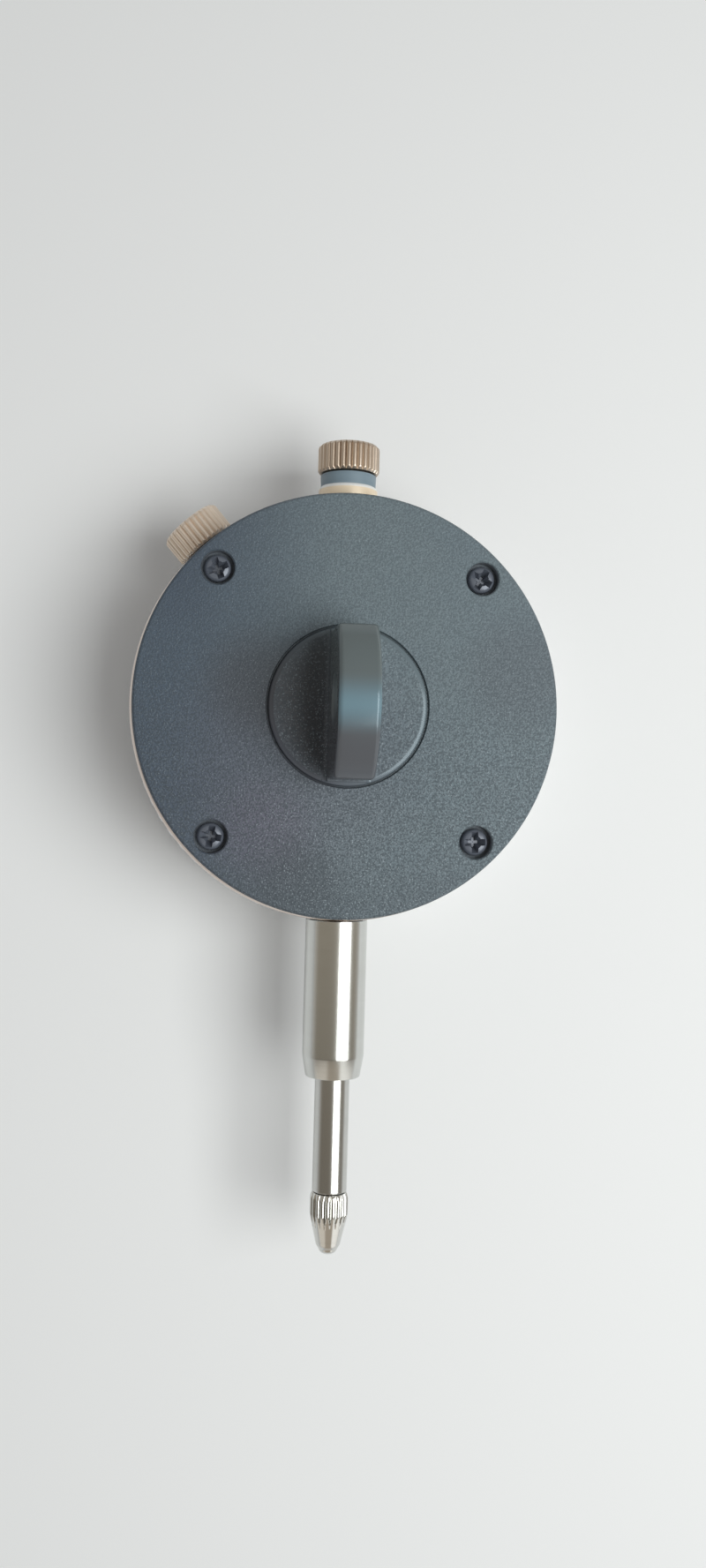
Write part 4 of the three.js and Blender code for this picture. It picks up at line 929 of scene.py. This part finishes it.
case_profile = softened([
    (0, 15.4), (24.0, 15.4), (24.0, 16.4), (25.0, 16.4), (25.0, 15.25), (24.5, 15.25),
    (24.5, 13.95), (25.0, 13.95), (25.0, 12.3), (27.15, 12.3), (27.15, 3.75), (26.75, 3.3),
    (24.0, 3.3), (24.0, 14.0), (0, 14.0)], 0.14)
case = moved(spun("case_fine", case_profile, 256), LAID)
openings = [moved(bar_tool(STEM_BORE, WALL_INSIDE, WALL_OUTSIDE), IN_STEM),
            moved(bar_tool(STEM_BORE, -WALL_OUTSIDE, -WALL_INSIDE), IN_STEM),
            moved(bar_tool(CLAMP_BORE, WALL_INSIDE, WALL_OUTSIDE), IN_CLAMP),
            moved(block("shoe_slot", 26.0, SHOE_SLOT, 29.0, SHOE_SLOT),
                  IN_CLAMP @ at(0, SHOE_SLOT_SHIFT))]
openings += [moved(bar_tool(radius, 13.0, end), at(x, 0, z) @ LAID)
             for (x, z), radius, end in ARBOR_BORES]
case = combined(case, "DIFFERENCE", openings)
finished(case, "case", case_finish, ["case_body"])

# %% [markdown]
# ## Bezel
# The bezel turns on the case and carries the crystal. Its band is knurled with 72 flutes so that
# a finger can turn it. The profile has eight points to a flute, and the knurl tree cuts them.

# %% Turn and knurl the bezel
BEZEL_RADIUS, BEZEL_FLUTES = 27.75, 72
bezel_profile = softened([
    (24.8, 20.5), (27.1, 20.5), (27.1, 18.7), (BEZEL_RADIUS, 18.7), (BEZEL_RADIUS, 14.4),
    (27.3, 13.9), (26.2, 13.9), (26.2, 12.6), (25.3, 12.6), (25.3, 13.95), (25.85, 13.95),
    (25.85, 15.25), (25.3, 15.25), (25.3, 16.7), (23.1, 16.7), (23.1, 18.1), (25.9, 18.1),
    (25.9, 19.9), (24.8, 19.9)], 0.22, 2)
bezel = knurled("bezel_fine", bezel_profile, BEZEL_FLUTES, chrome_finish, 13.85, 18.75, 0.3)
finished(bezel, "bezel_group", chrome_finish, ["bezel"], ON_AXIS)

# %% [markdown]
# ## Stem, bush, plunger, cap and contact point
# These five are turned round the plunger's axis. The rack is cut into the plunger's side: a row
# of 25 teeth at a pitch of 0.625 mm that the first pinion rolls on. The knob of the bezel clamp
# is turned and knurled like the cap, so it is made here too.

# %% Stem and upper bush
PLUNGER_BORE, NECK_RADIUS, STEM_RADIUS, BUSH_RADIUS = 2.55, 3.2, 4.0, 3.82
stem = spun("stem_fine", softened([
    (PLUNGER_BORE, -47.5), (3.55, -47.5), (STEM_RADIUS, -44.8), (STEM_RADIUS, -27.2),
    (NECK_RADIUS, -27.2), (NECK_RADIUS, -23.6), (PLUNGER_BORE, -23.6)], 0.12), 128)
finished(moved(stem, IN_STEM), "case", stem_finish, ["stem"])
bush = spun("upper_bush_fine", softened([
    (PLUNGER_BORE, 23.6), (NECK_RADIUS, 23.6), (NECK_RADIUS, 27.2), (BUSH_RADIUS, 27.2),
    (BUSH_RADIUS, 28.55), (3.55, 28.85), (3.62, 30.35), (3.5, 30.42), (PLUNGER_BORE, 30.42)],
    0.08), 128)
finished(moved(bush, IN_STEM), "case", bush_finish, ["upper_bush"])

# %% Plunger with its rack
PLUNGER_RADIUS, PIN_HOLE, PIN_HEIGHT = 2.25, 1.0, 2.0
RACK_PITCH, RACK_TEETH, RACK_START = 0.625, 25, -2.4
# The rack's pitch line and the outer side of its cutter, as distances from the plunger's axis.
RACK_LINE, CUTTER_SIDE = 1.8, 2.75
module = RACK_PITCH / pi
tooth_tip, tooth_root = -(RACK_LINE + 0.95 * module), -(RACK_LINE - 1.15 * module)
# A gap is level with the arbor at rest, so every tooth stands an odd half pitch from it.
pitches_down = round((RACK_START - RACK_ARBOR[1]) / RACK_PITCH) + 0.5
first_tooth = RACK_ARBOR[1] + RACK_PITCH * pitches_down
rack_low = first_tooth - RACK_PITCH / 2
rack_high = first_tooth + (RACK_TEETH - 0.5) * RACK_PITCH
cutter = [(-CUTTER_SIDE, rack_low), (tooth_root, rack_low)]
for i in range(RACK_TEETH):
    cutter += [(tooth_tip, first_tooth + i * RACK_PITCH),
               (tooth_root, first_tooth + (i + 0.5) * RACK_PITCH)]
cutter.append((-CUTTER_SIDE, rack_high))
rack_tool = moved(pushed_out("rack_tool", cutter, 5.5), LAID)
pin_tool = moved(bar_tool(PIN_HOLE, -0.5, 3.0),
                 at(0, 0, PIN_HEIGHT) @ Matrix.Rotation(radians(90), 4, "Y"))
plunger = spun("plunger_fine", softened([
    (0, -59.6), (1.2, -59.6), (1.2, -62.45), (PLUNGER_RADIUS, -62.45), (PLUNGER_RADIUS, 30.3),
    (1.4, 30.3), (1.4, 32.6), (0, 32.6)], 0.18), 96)
plunger = combined(plunger, "DIFFERENCE", [rack_tool, pin_tool])
finished(moved(plunger, IN_STEM), "plunger_group", plunger_finish, ["plunger"])

# %% Knurled cap, clamp knob and contact point
KNOB_FLUTES, POINT_FLUTES = 32, 20
CAP_RADIUS, CLAMP_RADIUS, POINT_RADIUS = 4.0, 4.08, 2.48
# The rounded tip of the contact point: its half width, its height and where it starts.
TIP_RADIUS, TIP_HEIGHT, TIP_START = 1.25, 0.88, -69.8

cap_profile = softened([
    (0, 32.9), (1.7, 32.9), (1.7, 30.6), (3.7, 30.6), (CAP_RADIUS, 30.95), (CAP_RADIUS, 33.9),
    (3.6, 34.3), (2.3, 34.3), (2.1, 34.15), (0, 34.15)], 0.12)
cap = knurled("plunger_cap_fine", cap_profile, KNOB_FLUTES, champagne_finish, 30.0, 35.0)
finished(moved(cap, IN_STEM), "plunger_group", champagne_finish, ["plunger_cap"])

clamp_profile = softened([
    (0, 24.6), (1.0, 24.6), (1.0, 27.4), (3.78, 27.4), (CLAMP_RADIUS, 27.75),
    (CLAMP_RADIUS, 30.8), (3.68, 31.2), (2.3, 31.2), (2.1, 31.05), (0, 31.05)], 0.12)
clamp = knurled("clamp_screw_fine", clamp_profile, KNOB_FLUTES, paler_champagne, 27.3, 32.0)
finished(moved(clamp, IN_CLAMP), "clamp_group", paler_champagne, ["clamp_screw"])

point_profile = softened([
    (0, -59.9), (0.9, -59.9), (0.9, -62.55), (2.25, -62.55), (POINT_RADIUS, -63.3),
    (POINT_RADIUS, -65.4), (2.30, -66.2), (2.10, -67.1), (1.58, -69.4), (1.35, -69.75)],
    0.15)[:-3]
point_profile += [(1.35, -69.75)]
point_profile += [(TIP_RADIUS * x, TIP_START + TIP_HEIGHT * y)
                  for x, y in arc((0, 0), 1.0, -0.15, -1.35, 8)]
point_profile += [(0, TIP_START - TIP_HEIGHT)]
point = knurled("contact_point_fine", point_profile, POINT_FLUTES, point_finish, -72.0, -62.4)
finished(moved(point, IN_STEM), "plunger_group", point_finish, ["contact_point"],
         crease=50)

# %% [markdown]
# ## Dial side
# The photograph doesn't show this side, so it has what such gauges have: a scale ring of 100
# divisions that turns with the bezel, a fixed dial with a small turn counter, two hands, a hub
# and a slightly domed crystal.

# %% Dial, scale ring, hub and crystal
DIAL_RADIUS, DIAL_BACK, DIAL_FACE, DIAL_HOLE = 18.2, 15.7, 16.2, 0.9
SCALE_INSIDE, SCALE_OUTSIDE, SCALE_BACK, SCALE_FACE = 18.5, 23.7, 15.9, 16.4
HAND_BORE = 0.7
# The dial's two feet: how far out they stand, their turns round the dial and their radius.
FOOT_REACH, FOOT_RADIUS = 0.75 * DIAL_RADIUS, 0.5
FOOT_TURNS = (radians(150), radians(-30))

dial = flat_ring("inner_dial_fine", DIAL_HOLE, DIAL_RADIUS, DIAL_BACK, DIAL_FACE, 192)
counter_bore = moved(bar_tool(DIAL_HOLE, 15.0, 17.0), at(*RACK_ARBOR))
dial = combined(dial, "DIFFERENCE", [counter_bore])
feet = [moved(bar_tool(FOOT_RADIUS, 14.8, 16.0), at(x, y))
        for x, y in arc((0, 0), FOOT_REACH, *FOOT_TURNS, 1)]
dial = combined(dial, "UNION", feet)
finished(dial, "case", dial_finish, ["inner_dial"], ON_AXIS)
ring = flat_ring("scale_ring_fine", SCALE_INSIDE, SCALE_OUTSIDE, SCALE_BACK, SCALE_FACE, 256)
finished(ring, "bezel_group", dial_finish, ["scale_ring"], ON_AXIS)
hub = spun("hand_hub_fine", softened([
    (HAND_BORE, 17.7), (1.6, 17.7), (1.6, 17.95), (1.2, 18.2), (HAND_BORE, 18.2)], 0.08), 64)
finished(hub, "centre_arbor", chrome_finish, ["hand_hub"], ON_AXIS)
crystal = spun("crystal_fine", softened([
    (0, 18.4), (25.6, 18.4), (25.6, 19.6), (24.6, 19.62), (22.0, 19.75), (16.0, 19.97),
    (8.0, 20.12), (0, 20.17)], 0.1), 192)
finished(crystal, "bezel_group", crystal_finish, ["crystal"], ON_AXIS)

# %% Ring of graduations
def marks_tree():
    tree, nodes, given = geometry_tree("ring_of_marks", {
        "Count": 100.0, "Outer radius": 23.0, "Short": 1.2, "Long": 2.0, "Long every": 10.0,
        "Middle": 1.6, "Middle every": 5.0, "Width": 0.12, "Height": SCALE_FACE})
    count = nodes.add("FunctionNodeFloatToInt", Float=given["Count"])
    points = nodes.add("GeometryNodePoints", Count=count)
    index = nodes.add("GeometryNodeInputIndex")
    is_long = (index % given["Long every"]) < 0.5
    is_middle = (index % given["Middle every"]) < 0.5
    medium = given["Short"] + (given["Middle"] - given["Short"]) * is_middle
    length = medium + (given["Long"] - medium) * is_long
    turn = index * (2 * pi) / given["Count"]
    middle_radius = given["Outer radius"] - length * 0.5
    spot = nodes.join(nodes.math("SINE", turn) * middle_radius,
                      nodes.math("COSINE", turn) * middle_radius, given["Height"])
    spread = nodes.add("GeometryNodeSetPosition", Geometry=points, Position=spot)
    line = nodes.add("GeometryNodeMeshCube", Size=(1.0, 1.0, 0.02))
    width = given["Width"] * (1 + is_long * 0.6)
    size = nodes.join(width, length, 1.0)
    rotation = nodes.add("FunctionNodeEulerToRotation", Euler=nodes.join(z=0 - turn))
    placed = nodes.add("GeometryNodeInstanceOnPoints", Points=spread, Instance=line,
                       Rotation=rotation, Scale=size)
    end_tree(nodes, placed, given["Material"])
    return tree


marks = marks_tree()

def ring_of_marks(name, body, place, **sizes):
    """Short lines round a circle as one thin piece; 'sizes' are the tree's inputs."""
    ring = run_tree(new_object(name, bpy.data.meshes.new(name)), marks, ink_finish, **sizes)
    finished(ring, body, ink_finish, place=place)


ring_of_marks("scale_marks", "bezel_group", ON_AXIS, Count=100.0, Outer_radius=23.0,
              Height=SCALE_FACE)
ring_of_marks("counter_marks", "case", ON_AXIS @ at(*RACK_ARBOR), Count=10.0, Outer_radius=4.6,
              Short=0.8, Long=0.8, Middle=0.8, Width=0.1, Height=DIAL_FACE)

# %% Plain numbers
def numbers(name, body, words, radius, size, height, centre=(0, 0)):
    """Words set round a circle, upright, as one thin piece."""
    build = bmesh.new()
    for i, word in enumerate(words):
        text = bpy.data.curves.new("word", "FONT")
        text.body, text.size, text.extrude = word, size, 0.01
        text.align_x, text.align_y = "CENTER", "CENTER"
        text.resolution_u = 3
        holder = new_object("word", text)
        flat = bpy.data.meshes.new_from_object(
            holder.evaluated_get(bpy.context.evaluated_depsgraph_get()))
        turn = 2 * pi * i / len(words)
        flat.transform(at(centre[0] + radius * sin(turn), centre[1] + radius * cos(turn), height))
        build.from_mesh(flat)
        bpy.data.objects.remove(holder)
    finished(built(name, build), body, ink_finish, place=ON_AXIS)


numbers("scale_numbers", "bezel_group", [str(10 * i) for i in range(10)], 19.75, 2.2,
        SCALE_FACE + 0.01)
numbers("counter_numbers", "case", [str(i) for i in range(10)], 5.55, 1.4, DIAL_FACE + 0.01,
        RACK_ARBOR)

# %% Hands
def hand(name, reach, tail, widths, boss, depth, thickness, centre):
    """A tapered needle with a round boss and a bore, its edges softened."""
    tail_width, width, tip_width = widths
    outline = [(-tail_width / 2, -tail), (tail_width / 2, -tail), (width / 2, 0),
               (tip_width / 2, reach), (-tip_width / 2, reach), (-width / 2, 0)]
    needle = moved(pushed_out(name, outline, thickness, 0.05, 2), at(0, 0, depth + thickness / 2))
    disc = flat_ring("boss", HAND_BORE, boss, depth - 0.01, depth + thickness + 0.01, 48)
    needle = combined(needle, "UNION", [disc])
    needle = combined(needle, "DIFFERENCE", [bar_tool(HAND_BORE, depth - 1, depth + 1)])
    return moved(needle, at(*centre))


main_hand = hand("main_hand_fine", 20.9, 6.2, (2.0, 1.5, 0.24), 2.0, 17.1, 0.3, (0, 0))
finished(main_hand, "centre_arbor", hand_finish, ["main_hand"], ON_AXIS)
turn_hand = hand("revolution_hand_fine", 3.4, 1.3, (0.7, 0.7, 0.2), 1.3, 16.5, 0.25, RACK_ARBOR)
finished(turn_hand, "rack_arbor", hand_finish, ["revolution_hand"], ON_AXIS)

# %% [markdown]
# ## Springs
# The return spring pulls the plunger down between a post and the guide pin, and the hairspring
# takes up the play of the gears. Both are a round or flat section swept along a list of points.

# %% Wind the springs
def swept(name, path, width, height, sides=8):
    """A closed tube along a path of points; an ellipse of width by height is its section."""
    build = bmesh.new()
    rings = []
    for i, point in enumerate(path):
        ahead = path[min(i + 1, len(path) - 1)] - path[max(i - 1, 0)]
        side = ahead.cross(Vector((0, 0, 1)))
        side = (side if side.length > 1e-6 else Vector((1, 0, 0))).normalized()
        rise = side.cross(ahead).normalized()
        rings.append([build.verts.new(point + side * (width / 2 * cos(turn))
                                      + rise * (height / 2 * sin(turn)))
                      for turn in [2 * pi * j / sides for j in range(sides)]])
    for lower, upper in zip(rings, rings[1:]):
        join_rings(build, lower, upper)
    build.faces.new(rings[0])
    build.faces.new(rings[-1])
    bmesh.ops.recalc_face_normals(build, faces=build.faces)
    return built(name, build)


SPRING_X, SPRING_LOW, SPRING_HIGH, SPRING_RADIUS = 5.0, -19.8, PIN_HEIGHT, 1.25
SPRING_TURNS, HOOK_TURNS, HOOK_LENGTH, TURN_STEPS = 12.25, 0.65, 1.5, 24
coil_height = SPRING_HIGH - SPRING_LOW - 2 * HOOK_LENGTH
coil_steps = round(SPRING_TURNS * TURN_STEPS)
full_turn = 2 * pi
low_hook = arc((SPRING_X, SPRING_LOW), SPRING_RADIUS, -full_turn * HOOK_TURNS, 0, TURN_STEPS)
windings = arc((SPRING_X, 0), SPRING_RADIUS, 0, full_turn * SPRING_TURNS, coil_steps)
high_hook = arc((0, SPRING_HIGH), SPRING_RADIUS, 0, full_turn * HOOK_TURNS, TURN_STEPS)
path = [Vector((x, 0, z)) for x, z in low_hook]
path += [Vector((x, y, SPRING_LOW + HOOK_LENGTH + coil_height * i / coil_steps))
         for i, (x, y) in enumerate(windings)]
path += [Vector((SPRING_X, y, z)) for y, z in high_hook]
print("return spring path:", len(path), "points")
spring = moved(swept("return_spring_fine", path, 0.3, 0.3), IN_STEM)
spring.data.transform(Matrix.Scale(MM, 4) @ CASE)
spring.data.materials.append(spring_finish)
spring.data.shade_smooth()
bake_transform(spring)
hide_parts("return_spring")
made.append(spring.name)

HAIR_START, HAIR_GROWTH, HAIR_TURNS, HAIR_STEPS, HAIR_DEPTH = 1.75, 0.8, 4, 48, 12.95
coil = []
for i in range(HAIR_TURNS * HAIR_STEPS + 1):
    turn, radius = full_turn * i / HAIR_STEPS, HAIR_START + HAIR_GROWTH * i / HAIR_STEPS
    coil.append(Vector((radius * cos(turn), radius * sin(turn), HAIR_DEPTH)))
hairspring = moved(swept("hairspring_fine", coil, 0.12, 0.6), at(*TAKE_UP_ARBOR))
finished(hairspring, "case", blued_finish, ["hairspring"], ON_AXIS)

# %% [markdown]
# ## Pieces that stay as the CAD made them
# The movement's plates, pillars, wheels and arbors have the right shape already, so they only
# get the finish of their slot: brass, ground steel and so on.

# %% Finish the remaining CAD nodes
BY_SLOT = {
    "chrome_case": chrome_finish, "cover_plastic": cover_finish, "black_steel": screw_finish,
    "polished_steel": stem_finish, "ground_steel": ground_finish, "brass": brass_finish,
    "champagne": champagne_finish, "dial_white": dial_finish, "hand_black": hand_finish,
    "spring_steel": spring_finish, "crystal": crystal_finish}
for part in frame["record"]["subparts"]:
    node = frame["nodes"][part["node"]]
    for place in node.material_slots:
        place.material = BY_SLOT[part["material_slot"]]
shown = [name for name, node in frame["nodes"].items() if not node.hide_render]
print("CAD nodes with a new finish:", ", ".join(sorted(shown)))

# %% [markdown]
# ## Measure and finish
# The CAD model's box and the visual model's box are both printed. The visual model must
# stay inside the CAD model's box.

# %% Print the sizes and close
boxes = {"cad": [list(corner) for corner in cad_box],
         "visual": [list(corner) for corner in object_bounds()]}
print("pieces made:", len(made))
for title, corners in boxes.items():
    print(title, [[round(value / MM, 2) for value in corner] for corner in corners])
